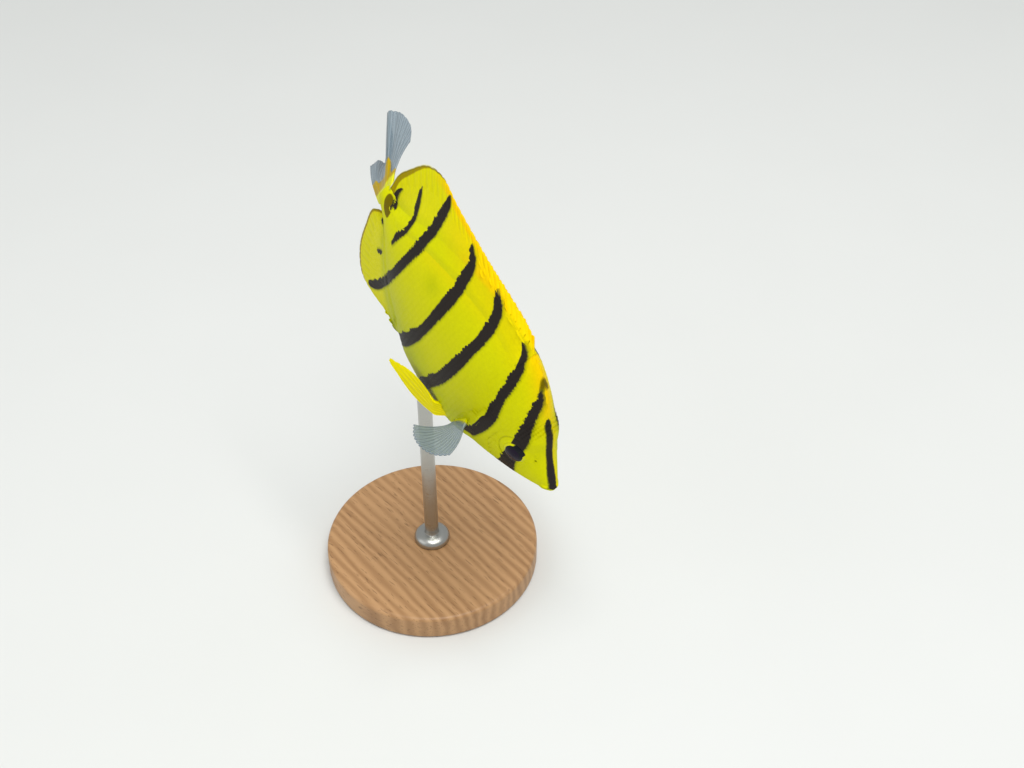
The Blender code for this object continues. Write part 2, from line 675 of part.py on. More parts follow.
def main():
    for obj in list(bpy.data.objects):
        bpy.data.objects.remove(obj)
    parts = bpy.data.collections.new("eightband_butterflyfish")
    cutters = bpy.data.collections.new("cutters")
    bpy.context.scene.collection.children.link(parts)
    bpy.context.scene.collection.children.link(cutters)

    fish = bpy.data.objects.new("fish_pose", None)
    fish.location = fish_offset()
    fish.rotation_euler = (0.0, math.radians(NOSE_DOWN), 0.0)
    parts.objects.link(fish)

    body = [
        make_head(parts, cutters),
        make_torso(parts),
        make_tail_stem(parts),
        make_eye("eye_right", -1, parts),
        make_eye("eye_left", 1, parts),
        edge_fin("dorsal_fin", DORSAL_BASE, DORSAL_EDGE, DORSAL_RAYS, DORSAL_SPINES, back, DORSAL_FOLD,
                 parts),
        edge_fin("anal_fin", ANAL_BASE, ANAL_EDGE, ANAL_RAYS, ANAL_SPINES, belly, ANAL_FOLD, parts),
        make_caudal_fin(parts),
        make_pectoral_fin("pectoral_fin_right", -1, parts),
        make_pectoral_fin("pectoral_fin_left", 1, parts),
        make_pelvic_fin("pelvic_fin_right", -1, parts),
        make_pelvic_fin("pelvic_fin_left", 1, parts),
    ]
    for obj in body:
        obj.parent = fish
    stand = [make_stand_base(parts), make_stand_rod(parts)]
    for obj in body + stand:
        give_material(obj)


main()
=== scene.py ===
"""Eightband butterflyfish on its display stand: skin, scales, fins, eyes, stand and studio.

Body coordinates are in standard lengths: place from the snout to the root of the tail fin,
then left, then up towards the back. The world is in metres, as the frame has it.
"""
import math
from functools import partial

import bmesh
import bpy
import numpy as np
from mathutils import Matrix, Vector

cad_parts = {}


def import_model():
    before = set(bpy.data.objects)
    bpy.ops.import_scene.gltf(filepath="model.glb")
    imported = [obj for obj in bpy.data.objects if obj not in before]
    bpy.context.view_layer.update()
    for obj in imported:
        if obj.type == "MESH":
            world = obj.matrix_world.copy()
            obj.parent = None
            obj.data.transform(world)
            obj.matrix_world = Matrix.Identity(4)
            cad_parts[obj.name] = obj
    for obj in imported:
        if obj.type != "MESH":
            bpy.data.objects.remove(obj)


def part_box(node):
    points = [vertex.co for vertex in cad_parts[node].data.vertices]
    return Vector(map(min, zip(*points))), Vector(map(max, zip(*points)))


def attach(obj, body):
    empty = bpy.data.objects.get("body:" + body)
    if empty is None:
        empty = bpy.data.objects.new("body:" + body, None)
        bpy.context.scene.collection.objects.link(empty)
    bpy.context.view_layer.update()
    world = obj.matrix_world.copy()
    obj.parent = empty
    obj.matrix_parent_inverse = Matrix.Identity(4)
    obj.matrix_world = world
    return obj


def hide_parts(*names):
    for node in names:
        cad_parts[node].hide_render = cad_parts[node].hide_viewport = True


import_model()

bl_info = {
    "name": "Eightband Butterflyfish",
    "version": (1, 0, 0),
    "blender": (4, 5, 0),
    "location": "3D View > Sidebar > Butterflyfish",
    "description": "Dresses a life-size butterflyfish model with skin, scales, fins, eyes and stand",
    "category": "Object",
}

# Body and pose, as the solids have them
STANDARD_LENGTH = 0.085
BODY_HEIGHT = 0.092
NOSE_DOWN = 35.5
MIDDLE = 0.50
BEND_START = 0.55
BEND_SIDE = 0.078
OUTLINE = [
    (0.000, 0.012, -0.018, 0.013),
    (0.012, 0.024, -0.031, 0.023),
    (0.030, 0.040, -0.046, 0.033),
    (0.060, 0.069, -0.069, 0.047),
    (0.100, 0.114, -0.101, 0.062),
    (0.150, 0.173, -0.142, 0.075),
    (0.200, 0.228, -0.182, 0.083),
    (0.250, 0.271, -0.219, 0.087),
    (0.300, 0.302, -0.262, 0.090),
    (0.350, 0.320, -0.288, 0.091),
    (0.420, 0.330, -0.306, 0.089),
    (0.500, 0.329, -0.312, 0.083),
    (0.600, 0.309, -0.297, 0.073),
    (0.700, 0.266, -0.258, 0.061),
    (0.800, 0.198, -0.197, 0.048),
    (0.880, 0.118, -0.120, 0.036),
    (0.940, 0.066, -0.067, 0.026),
    (1.000, 0.056, -0.054, 0.019),
]
CREST_SHARPNESS = 0.25
CREST_START = 0.25
FIN_SHARPNESS = 0.50          # more of it where a fin carries the body's edge on
BACK_DRAWN = (0.30, 0.46)     # places between which the back takes on that edge
BELLY_DRAWN = (0.58, 0.72)
SNOUT_TIP = 0.0055           # length of the rounded tip in front of the first section

# Face
EYE_PLACE = (0.146, 0.045)
EYE_RADIUS = 0.035
EYE_BALL = (0.041, 0.020)
EYE_SINK = 0.0115
RIM_RADIUS = 0.0056
NOSTRILS = [(0.091, 0.069), (0.100, 0.084)]
NOSTRIL_RIM = (0.0052, 0.0020, 0.0016)   # radius, width and rise
NOSTRIL_PIT = (0.0032, 0.0060)           # radius and depth
EYE_FOLD = 0.057             # distance from the eye's middle to the fold behind it
EYE_CLEAR = 0.056            # within this distance of the eye no scales grow
MOUTH_HEIGHT = -0.003
MOUTH_SLOPE = -0.50
MOUTH_CORNER = 0.033
LIP_HEIGHT = 0.0040          # how far a lip stands out
LIP_WIDTH = 0.0060
GILL_EDGE = 0.262
GILL_BULGE = 0.030
GILL_THROAT = 0.062
COVER_STEP = 0.0045
COVER_START = 0.80
COVER_FOLD = 0.76

# Fins, within 3 mm of the solids: the tail fin and the anal fin's rear corner follow the photo more closely
DORSAL_BASE = (0.335, 0.940)
DORSAL_EDGE = [
    (0.00, 0.375, 0.344),
    (0.12, 0.445, 0.350),
    (0.26, 0.555, 0.358),
    (0.42, 0.690, 0.362),
    (0.56, 0.800, 0.355),
    (0.70, 0.890, 0.345),
    (0.80, 0.950, 0.295),
    (0.89, 0.980, 0.213),
    (0.95, 0.994, 0.148),
    (1.00, 0.982, 0.096),
]
DORSAL_SPINES = 11
DORSAL_RAYS = 29
ANAL_BASE = (0.655, 0.925)
ANAL_EDGE = [
    (0.00, 0.692, -0.284),
    (0.12, 0.750, -0.308),
    (0.28, 0.832, -0.354),
    (0.45, 0.915, -0.374),
    (0.62, 0.980, -0.326),
    (0.80, 1.014, -0.236),
    (0.92, 1.028, -0.160),
    (1.00, 1.000, -0.112),
]
ANAL_SPINES = 3
ANAL_RAYS = 19
FIN_BOW = 0.040
FIN_LEAN = 0.014
DORSAL_FOLD = 3.0            # how much further its last rays lean, to the other side
ANAL_FOLD = -0.7             # its last rays lean further to the same side
SKIRT_DEPTH = 0.085          # how deep a fin's foot reaches into the body
SKIRT_SINK = 0.40            # millimetres by which the lowest part of the foot lies under the skin
FLANK_SLOPE = 0.60           # of the flanks where they meet
CAUDAL_RAYS = 17
CAUDAL_SPREAD = [(0.0, -34.0), (0.2, -32.5), (0.38, -32.0), (0.48, -7.5), (0.65, 1.5), (0.8, 5.0), (1.0, 14.0)]
CAUDAL_LENGTH = [(0.0, 0.245), (0.2, 0.265), (0.38, 0.310), (0.48, 0.300), (0.65, 0.285), (0.8, 0.255),
                 (0.9, 0.215), (1.0, 0.160)]
CAUDAL_SWING = [(0.0, 48.0), (0.2, 58.0), (0.38, 68.0), (0.48, 41.5), (0.65, 42.5), (0.8, 51.5), (0.9, 60.0),
                (1.0, 67.0)]
CAUDAL_TURN = [(0.0, 0.60), (0.38, 0.50), (0.48, 0.15), (0.8, 0.25), (1.0, 0.50)]
# How far yellow and ochre reach along the tail fin's rays, in millimetres
TAIL_LIMITS = [(0.0, 3.8, 9.6), (0.2, 3.5, 10.2), (0.38, 4.0, 8.8), (0.44, 3.6, 7.2), (0.48, 3.4, 7.5),
               (0.52, 3.8, 10.5), (0.56, 4.2, 11.2), (0.65, 4.2, 9.0), (0.8, 3.9, 5.4), (1.0, 3.9, 5.4)]
PECTORAL_YELLOW = 1.0         # the same reach on the pectoral fins
PECTORAL_RAYS = 14
PECTORAL_BASE = [(0.304, -0.062), (0.322, -0.134)]
PECTORAL_LENGTH = [(0.0, 0.185), (0.3, 0.230), (0.65, 0.235), (1.0, 0.195)]
PECTORAL_CURVE = 14.0
PECTORAL_OUT = {"right": (127.0, 86.0), "left": (26.0, 40.0)}
PECTORAL_UP = {"right": (31.0, 29.0), "left": (8.0, -26.0)}
PELVIC_RAYS = 6
PELVIC_BASE = [(0.362, -0.214), (0.395, -0.180)]
PELVIC_LENGTH = [(0.0, 0.195), (0.25, 0.240), (0.6, 0.200), (1.0, 0.145)]
PELVIC_OUT = (7.0, 0.0)
PELVIC_UP = (-14.0, -10.0)
PELVIC_CURVE = 2.0
PELVIC_BOW = 28.0            # how far the outer rays spread before they close again
PECTORAL_LIFT = 0.0009
ROOT_DIVE = 1.5              # share of its lift by which a fin's root dives back towards the body
PELVIC_LIFT = 0.0012
# Fins' feet: share of a ray over which each one thins out, and its thickness at the root in metres
MEDIAN_FOOT = (0.65, 0.0006)
CAUDAL_FOOT = (0.35, 0.0015)
PAIRED_FOOT = (0.30, 0.0012)
SHEATH_FILM = 0.00016        # half the thickness of a median fin under its scales, past the foot
# How far a fin's edge draws in between two rays, as a length for spines and soft rays, else as a share
SPINE_SCALLOP = 0.0105
RAY_SCALLOP = 0.0030
CAUDAL_SCALLOP = 0.012
PAIRED_SCALLOP = 0.03
SCALE_VARIATION = 0.07       # by which a scale's size differs from its neighbours'
SCALE_SHARP = 40.0           # degrees from which a scale's rim is a sharp edge
BAKE_PATCH = 0.003           # size of a scale on its unwrap

# Dark bars: points along each one's middle as (place, up, half width), from back to belly
BARS = [
    [(0.246, 0.262, 0.003), (0.229, 0.246, 0.006), (0.211, 0.215, 0.012), (0.187, 0.162, 0.014),
     (0.161, 0.100, 0.021), (0.151, 0.050, 0.020), (0.141, -0.010, 0.026), (0.131, -0.058, 0.028),
     (0.141, -0.095, 0.022), (0.150, -0.130, 0.010)],
    [(0.381, 0.322, 0.002), (0.360, 0.311, 0.007), (0.342, 0.295, 0.010), (0.321, 0.262, 0.014),
     (0.305, 0.212, 0.016), (0.291, 0.156, 0.015), (0.270, 0.080, 0.020), (0.265, 0.022, 0.020),
     (0.266, -0.036, 0.018), (0.279, -0.096, 0.020), (0.304, -0.136, 0.015), (0.322, -0.152, 0.010)],
    [(0.539, 0.343, 0.001), (0.530, 0.338, 0.004), (0.492, 0.316, 0.016), (0.473, 0.286, 0.016),
     (0.459, 0.235, 0.017), (0.451, 0.155, 0.018), (0.444, 0.040, 0.018), (0.453, -0.070, 0.020),
     (0.470, -0.168, 0.020), (0.477, -0.225, 0.021), (0.482, -0.262, 0.012)],
    [(0.681, 0.346, 0.002), (0.668, 0.338, 0.008), (0.637, 0.318, 0.013), (0.620, 0.272, 0.019),
     (0.600, 0.190, 0.018), (0.593, 0.080, 0.017), (0.592, -0.020, 0.017), (0.605, -0.120, 0.021),
     (0.626, -0.215, 0.021), (0.637, -0.262, 0.014)],
    [(0.827, 0.344, 0.006), (0.814, 0.322, 0.014), (0.804, 0.282, 0.018), (0.789, 0.210, 0.018),
     (0.780, 0.135, 0.018), (0.778, 0.030, 0.016), (0.783, -0.060, 0.015), (0.795, -0.140, 0.015),
     (0.811, -0.215, 0.015), (0.831, -0.280, 0.017), (0.856, -0.335, 0.012)],
    [(0.914, 0.238, 0.001), (0.903, 0.215, 0.008), (0.883, 0.180, 0.011), (0.861, 0.140, 0.010),
     (0.848, 0.100, 0.009), (0.853, 0.050, 0.011), (0.852, 0.005, 0.006)],
    [(0.905, -0.180, 0.003), (0.890, -0.155, 0.009), (0.878, -0.128, 0.003)],
    [(0.958, 0.134, 0.002), (0.961, 0.108, 0.007), (0.957, 0.080, 0.008), (0.950, 0.062, 0.008),
     (0.934, 0.056, 0.006)],
    [(0.962, 0.052, 0.002), (0.950, 0.043, 0.005), (0.938, 0.036, 0.002)],
    [(0.940, -0.062, 0.003), (0.953, -0.084, 0.008), (0.968, -0.100, 0.004)],
]
# The first bar of the left side stands a little further forward
LEFT_FIRST_BAR = [(0.246, 0.222, 0.006), (0.212, 0.193, 0.013), (0.191, 0.171, 0.015), (0.155, 0.132, 0.016),
                  (0.141, 0.096, 0.020), (0.151, 0.050, 0.020), (0.141, -0.010, 0.026), (0.131, -0.058, 0.028),
                  (0.141, -0.095, 0.022), (0.150, -0.130, 0.010)]
FOREHEAD_STRIPE = [(-0.010, 0.0100), (0.020, 0.0140), (0.042, 0.0145), (0.070, 0.0125), (0.100, 0.0120),
                   (0.140, 0.0108), (0.165, 0.0088), (0.172, 0.0020)]
STRIPE_ASIDE = 0.0075        # it lies a little to the fish's right
TOOTH = 0.5                  # how far a bar's rear edge follows whole scales
TOOTH_REACH = 1.2            # most millimetres from a scale's middle to its rim
BAR_REACH = 0.08             # beyond this distance a bar leaves the skin alone
BAR_SOFT = 0.8               # millimetres outside a bar at which its two edges stop being told apart
NAPE_SMUDGE = [(0.276, 0.293, 0.002), (0.262, 0.280, 0.0045), (0.250, 0.268, 0.0050), (0.240, 0.258, 0.0040)]
PEDUNCLE_PATCH = [(0.984, 0.044, 0.003), (0.970, 0.034, 0.018), (0.955, 0.025, 0.024), (0.942, 0.017, 0.016),
                  (0.933, 0.010, 0.004)]
FLANK_SMUDGE = (0.665, 0.140, 0.030)   # place, height and size of a faint green spot
BROW = (0.137, 0.128, 0.036, 0.0085)   # place, height, size and rise of the swelling over each eye

# Camera, solved from the photo: it looks at the middle of the fish from the fish's right and above
CAMERA_TARGET = (0.01496, 0.0, BODY_HEIGHT)
CAMERA_DISTANCE = 0.34131
SIGHT_AZIMUTH = 50.0
SIGHT_ELEVATION = 40.0
AXIS_AZIMUTH = 47.054
AXIS_ELEVATION = 41.707
LENS = 48.0
SENSOR_MM = 36.0

# Lights: place and width, and the point that both look at
KEY_LIGHT = ((0.30, -0.05, 1.05), 0.60)
FILL_LIGHT = ((-0.30, -0.75, 0.55), 0.70)
LIGHT_TARGET = (0.01, 0.0, 0.07)

ROUND = 2 * math.pi
PER_MM = 1000.0               # scale of a noise whose features are 1 mm apart


def linear(code):
    """Linear colour of an sRGB hex value."""
    parts = [int(code[i:i + 2], 16) / 255 for i in (0, 2, 4)]
    return tuple(p / 12.92 if p <= 0.04045 else ((p + 0.055) / 1.055) ** 2.4 for p in parts)


def colour_property(name, description, code):
    return bpy.props.FloatVectorProperty(name=name, description=description, subtype="COLOR", size=3,
                                         min=0.0, max=1.0, default=linear(code))


class FishSizes(bpy.types.PropertyGroup):
    scale_spacing: bpy.props.FloatProperty(
        name="Scale spacing", description="Distance between two scales on the middle of the flank",
        default=0.00145, min=0.0008, unit="LENGTH")
    scale_thickness: bpy.props.FloatProperty(
        name="Scale thickness", description="Thickness of a scale", default=0.00003, unit="LENGTH")
    scale_lift: bpy.props.FloatProperty(
        name="Scale lift", description="Angle between a scale and the skin", default=math.radians(0.8),
        subtype="ANGLE")
    coat_depth: bpy.props.FloatProperty(
        name="Coat depth", description="How far the skin lies inside the solids, under the scales",
        default=0.00013, unit="LENGTH")
    membrane: bpy.props.FloatProperty(
        name="Membrane", description="Thickness of a fin between its rays", default=0.00022, unit="LENGTH")
    ray: bpy.props.FloatProperty(
        name="Ray", description="Thickness of a fin over a ray", default=0.00046, unit="LENGTH")
    seed: bpy.props.IntProperty(name="Seed", description="Seed of the scales' small differences", default=8)


class FishColours(bpy.types.PropertyGroup):
    yellow: colour_property("Yellow", "Flanks and fins", "D4D400")
    # Painted shade of the lower flank: a darker, greener yellow.
    green: colour_property("Green yellow", "Lower flank", "A8B400")
    bright: colour_property("Bright yellow", "Pelvic fins and soft part of the back fin", "FFF000")
    gold: colour_property("Gold", "Edge of the back fin and crown of the head", "F4C800")
    dark: colour_property("Dark", "Bars and stripe", "2C2724")
    olive: colour_property("Olive", "Patch on the tail stem and outermost edge of the fins", "6E6000")
    margin: colour_property("Margin", "Inner part of the dark margin of the back fin", "A08C00")
    ochre: colour_property("Ochre", "Band across the root of the tail fin", "B09400")
    # Painted highlight: a pale line along the outer edge of the dorsal and anal fins' dark margin.
    pale: colour_property("Pale spines", "Spines that show through the back fin's scaly foot", "D9D8A8")
    clear: colour_property("Clear", "Glassy film of the fins", "71828C")
    milky: colour_property("Milky", "Rays in the glassy film", "A3B0B6")
    cloud: colour_property("Cloud", "Darker clouds in the glassy film", "586B78")
    pupil: colour_property("Pupil", "Middle of the eye", "1A1024")
    iris: colour_property("Iris", "Dark ring of the eye", "14161C")
    # Painted highlight on the lower rim of the orbit, under the eye.
    eye_rim_highlight: colour_property("Gleam", "Pale line under the eye", "56646C")


class StandSizes(bpy.types.PropertyGroup):
    base_bevel: bpy.props.FloatProperty(
        name="Base bevel", description="Rounded edge of the wooden base", default=0.0012, unit="LENGTH")
    rod_share: bpy.props.FloatProperty(
        name="Rod share", description="Rod's radius as a share of its foot's radius", default=0.385)
    foot_rise: bpy.props.FloatProperty(
        name="Foot rise", description="Height of the rod's foot as a share of its radius", default=0.423)
    grain: bpy.props.FloatProperty(
        name="Grain", description="Distance between two year rings on the base", default=0.0026, unit="LENGTH")
    wood: colour_property("Wood", "Pale wood of the base", "B98F63")
    grain_dark: colour_property("Late wood", "Darker lines of the grain", "8A623C")
    steel: colour_property("Steel", "Brushed steel of the rod", "B9B9B4")


class StudioSettings(bpy.types.PropertyGroup):
    floor_size: bpy.props.FloatProperty(
        name="Floor size", description="Width of the floor", default=6.0, unit="LENGTH")
    floor: colour_property("Floor", "Pale floor", "D8D9D6")
    key: bpy.props.FloatProperty(
        name="Key light", description="Power of the large soft light", default=10.5, unit="POWER")
    fill: bpy.props.FloatProperty(
        name="Fill light", description="Power of the fill light", default=1.2, unit="POWER")
    sky_colour: colour_property("Sky colour", "Colour of the even light around", "F2F5F6")
    sky: bpy.props.FloatProperty(name="Sky", description="Strength of the even light around", default=0.55)


def smooth(points, x, column=1):
    """Cubic curve through the points' chosen column, with no overshoot at the ends."""
    table = np.array(points, dtype=float)
    px = table[:, 0]
    py = table[:, column]
    slope = np.gradient(py, px)
    x = np.clip(np.asarray(x, dtype=float), px[0], px[-1])
    k = np.clip(np.searchsorted(px, x, side="right") - 1, 0, len(px) - 2)
    span = px[k + 1] - px[k]
    t = (x - px[k]) / span
    return ((2 * t ** 3 - 3 * t ** 2 + 1) * py[k] + (t ** 3 - 2 * t ** 2 + t) * span * slope[k]
            + (3 * t ** 2 - 2 * t ** 3) * py[k + 1] + (t ** 3 - t ** 2) * span * slope[k + 1])


def ramp(x, low, high):
    t = np.clip((np.asarray(x, dtype=float) - low) / (high - low), 0.0, 1.0)
    return t * t * (3 - 2 * t)


def bump(x, width):
    return np.exp(-(np.asarray(x) / width) ** 2)


def back(x):
    return smooth(OUTLINE, x, 1)


def belly(x):
    return smooth(OUTLINE, x, 2)


def half_width(x):
    return smooth(OUTLINE, x, 3)


def sharpness(x, s):
    """How pointed a section is; s is the height in it, from -1 at the belly to 1 at the back."""
    fin = np.where(s > 0, ramp(x, *BACK_DRAWN), ramp(x, *BELLY_DRAWN))
    return 1.0 + CREST_SHARPNESS * np.clip(x / CREST_START, 0.0, 1.0) + FIN_SHARPNESS * fin


def width_at(x, z):
    middle = (back(x) + belly(x)) / 2
    half = (back(x) - belly(x)) / 2
    s = np.clip((z - middle) / half, -1.0, 1.0)
    return half_width(x) * (1.0 - s * s) ** (0.5 * sharpness(x, s))


def section(x, angle):
    """Points of the body's surface; in front of the first section the snout closes in a round tip."""
    tip = np.sqrt(np.clip(1.0 + np.minimum(x, 0.0) / SNOUT_TIP, 0.0, 1.0))
    middle = (back(x) + belly(x)) / 2
    half = (back(x) - belly(x)) / 2 * tip
    c = np.cos(angle)
    y = half_width(x) * tip * np.sign(c) * np.abs(c) ** sharpness(x, np.sin(angle))
    return np.stack(np.broadcast_arrays(x, y, middle + half * np.sin(angle)), axis=-1)


def fish_metres(points):
    """Body coordinates to metres in the fish's own frame, with the tail swung aside."""
    p = np.array(points, dtype=float)
    reach = 1.0 - BEND_START
    u = np.clip((p[..., 0] - BEND_START) / reach, 0.0, None)
    turn = np.arctan(2 * BEND_SIDE * u / reach)
    out = p.copy()
    out[..., 0] = MIDDLE - p[..., 0] + p[..., 1] * np.sin(turn)
    out[..., 1] = BEND_SIDE * u * u + p[..., 1] * np.cos(turn)
    return out * STANDARD_LENGTH


def stand_up(points):
    """The fish's own frame to the world."""
    a = math.radians(NOSE_DOWN)
    p = np.asarray(points, dtype=float)
    foot = float(belly(MIDDLE)) * STANDARD_LENGTH
    out = p.copy()
    out[..., 0] = p[..., 0] * math.cos(a) + p[..., 2] * math.sin(a) - foot * math.sin(a)
    out[..., 2] = -p[..., 0] * math.sin(a) + p[..., 2] * math.cos(a) + BODY_HEIGHT
    return out


def world(points):
    return stand_up(fish_metres(points))


def millimetres(length):
    return length * STANDARD_LENGTH * 1000


def unit(v):
    return v / np.maximum(np.linalg.norm(v, axis=-1, keepdims=True), 1e-12)


def face_frame(x, z, side):
    """World point on the flank with its outward normal, forward and up directions."""
    step = 0.004

    def point(px, pz):
        return world(np.array([px, side * float(width_at(px, pz)), pz]))

    forward = unit(point(x - step, z) - point(x + step, z))
    up = point(x, z + step) - point(x, z - step)
    normal = unit(np.cross(forward, up) * -side)
    return point(x, z), normal, forward, unit(np.cross(normal, forward) * -side)


def gill_edge(angle):
    s = np.sin(angle)
    throat = np.clip((-0.25 - s) / 0.75, 0.0, 1.0)
    return GILL_EDGE + GILL_BULGE * np.exp(-((s + 0.08) / 0.30) ** 2) - GILL_THROAT * throat ** 1.3


def along_bar(points, x, z):
    """Distances in millimetres inside a bar's front edge and inside its rear edge.

    Beyond the bar's ends both are the same, minus the distance from it.
    """
    table = np.array(points)
    t = np.linspace(0.0, 1.0, 5 * (len(table) - 1) + 1)
    knots = np.linspace(0.0, 1.0, len(table))
    path = np.stack([smooth(np.stack([knots, table[:, c]], axis=1), t) for c in range(3)], axis=1)
    best = np.full(x.shape, -1e9)
    front = np.full(x.shape, -1e3)
    rear = np.full(x.shape, -1e3)
    for a, b in zip(path[:-1], path[1:]):
        d = b[:2] - a[:2]
        length = np.hypot(*d)
        run = ((x - a[0]) * d[0] + (z - a[1]) * d[1]) / length ** 2
        past = (run < 0.0) & (a[0] == path[0][0]) | (run > 1.0) & (b[0] == path[-1][0])
        s = np.clip(run, 0.0, 1.0)
        gap_x = x - (a[0] + s * d[0])
        gap_z = z - (a[1] + s * d[1])
        width = a[2] + s * (b[2] - a[2])
        off = np.hypot(gap_x, gap_z)
        behind = np.where(gap_x * -d[1] + gap_z * d[0] > 0, 1.0, -1.0) * off
        closer = width - off > best
        best = np.where(closer, width - off, best)
        front = np.where(closer, np.where(past, width - off, width + behind), front)
        rear = np.where(closer, np.where(past, width - off, width - behind), rear)
    return millimetres(front), millimetres(rear)


def bars_at(points, whole=None):
    """The same two distances for whichever bar lies nearest.

    whole holds the middles of the scales that the points lie on. A bar's rear edge follows them
    in part, so that it is toothed scale by scale.
    """
    front = np.full(points.shape[:-1], -1e3)
    rear = np.full(points.shape[:-1], -1e3)
    for bar in BARS + [LEFT_FIRST_BAR]:
        places = [p[0] for p in bar]
        near = (points[..., 0] > min(places) - BAR_REACH) & (points[..., 0] < max(places) + BAR_REACH)
        if bar is BARS[0]:
            near &= points[..., 1] <= 0.0
        elif bar is LEFT_FIRST_BAR:
            near &= points[..., 1] > 0.0
        if not near.any():
            continue
        f, r = along_bar(bar, points[near][..., 0], points[near][..., 2])
        if whole is not None:
            step = along_bar(bar, whole[near][..., 0], whole[near][..., 2])[1] - r
            r = r + TOOTH * np.clip(step, -TOOTH_REACH, TOOTH_REACH)
        closer = np.minimum(f, r) > np.minimum(front[near], rear[near])
        front[near] = np.where(closer, f, front[near])
        rear[near] = np.where(closer, r, rear[near])
    outside = np.minimum(front, rear)
    far = outside < -BAR_SOFT
    return np.where(far, outside, front), np.where(far, outside, rear)


def patch_at(x, z):
    return np.maximum(np.minimum(*along_bar(PEDUNCLE_PATCH, x, z)), np.minimum(*along_bar(NAPE_SMUDGE, x, z)))


def stripe_at(x, y, z):
    """Millimetres inside the stripe down the forehead."""
    width = smooth(FOREHEAD_STRIPE, x)
    inside = millimetres(width - np.abs(y + STRIPE_ASIDE))
    return np.where((z > -0.004) & (x < FOREHEAD_STRIPE[-1][0]), inside, -9.0)


def ground_marks(x, z):
    """Fields of the yellow ground on body and median fins: gold in front, bright on the fins, green below as painted
    shade of the lower flank, plus a faint green spot.
    """
    above = np.maximum(z - back(x), belly(x) - z)
    gold = 0.35 * ramp(z, 0.20, 0.34) * (1 - ramp(x, 0.70, 0.85))
    crest = 0.85 * ramp(z - back(x), -0.012, 0.012) * (1 - ramp(x, 0.58, 0.76))
    # Painted shade: the lower flank turns greener and darker towards the belly.
    green = 0.75 * ramp(-z, -0.02, 0.22) * (1 - 0.6 * ramp(x, 0.62, 0.85))
    smudge = 0.45 * bump(np.hypot(x - FLANK_SMUDGE[0], z - FLANK_SMUDGE[1]), FLANK_SMUDGE[2])
    return {"gold": np.maximum(gold, crest), "green": green + smudge, "bright": 0.35 * ramp(above, 0.0, 0.06)}


def body_marks(points, whole=None):
    """Marking fields of points on the body, all from their body coordinates."""
    x, y, z = points[..., 0], points[..., 1], points[..., 2]
    front, rear = bars_at(points, whole)
    stripe = stripe_at(x, y, z)
    use = stripe > np.minimum(front, rear)
    front = np.where(use, stripe, front)
    rear = np.where(use, stripe, rear)
    crown = bump(y, 0.030) * (z > 0) * ramp(x, 0.10, 0.22)
    marks = ground_marks(x, z)
    marks["gold"] = np.maximum(marks["gold"], 0.85 * crown * (1 - ramp(x, 0.70, 0.85)))
    return dict(marks, front=front, rear=rear, olive=patch_at(x, z))


def new_mesh(name, verts, faces):
    mesh = bpy.data.meshes.new(name)
    verts = np.asarray(verts, dtype=np.float32).reshape(-1, 3)
    mesh.vertices.add(len(verts))
    mesh.vertices.foreach_set("co", verts.ravel())
    sizes = np.array([len(f) for f in faces], dtype=np.int32)
    flat = np.concatenate([np.asarray(f, dtype=np.int32) for f in faces])
    mesh.loops.add(len(flat))
    mesh.loops.foreach_set("vertex_index", flat)
    mesh.polygons.add(len(sizes))
    mesh.polygons.foreach_set("loop_start", np.concatenate([[0], np.cumsum(sizes)[:-1]]).astype(np.int32))
    mesh.update(calc_edges=True)
    mesh.validate()
    return mesh


def new_object(name, mesh, material):
    obj = bpy.data.objects.new(name, mesh)
    bpy.context.scene.collection.objects.link(obj)
    mesh.materials.clear()
    mesh.materials.append(material)
    mesh.shade_smooth()
    return obj


def outwards(mesh):
    """Turns all faces of a closed mesh outwards."""
    bm = bmesh.new()
    bm.from_mesh(mesh)
    bmesh.ops.recalc_face_normals(bm, faces=bm.faces)
    bm.to_mesh(mesh)
    bm.free()


def write_field(mesh, name, values, kind="FLOAT"):
    layer = mesh.attributes.new(name, kind, "POINT")
    key = "vector" if kind == "FLOAT_VECTOR" else "value"
    layer.data.foreach_set(key, np.asarray(values, dtype=np.float32).ravel())


def read_field(mesh, name, width=1):
    layer = mesh.attributes[name]
    values = np.zeros(len(layer.data) * width, dtype=np.float32)
    layer.data.foreach_get("vector" if width == 3 else "value", values)
    return values.reshape(-1, width) if width > 1 else values


def write_fields(mesh, fields):
    for name, values in fields.items():
        write_field(mesh, name, values)


def grid_faces(rows, columns, closed, offset=0):
    """Quads of a grid; closed joins its last column to its first."""
    i = np.arange(rows - 1)[:, None] * columns
    j = np.arange(columns if closed else columns - 1)[None]
    k = (j + 1) % columns
    quads = np.stack(np.broadcast_arrays(i + j, i + k, i + columns + k, i + columns + j), axis=-1)
    return (quads.reshape(-1, 4) + offset).tolist()


def capped_faces(rows, columns):
    """Faces of a closed grid and of a fan at each end; the two end points follow the grid's own."""
    faces = grid_faces(rows, columns, True)
    first = rows * columns
    for j in range(columns):
        k = (j + 1) % columns
        faces.append((first, k, j))
        faces.append((first + 1, first - columns + j, first - columns + k))
    return faces


def finish_piece(obj, slot, *nodes):
    """Hides the solids that a finished piece replaces and hangs the piece on the root body."""
    if nodes:
        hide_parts(*nodes)
    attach(obj, "root")


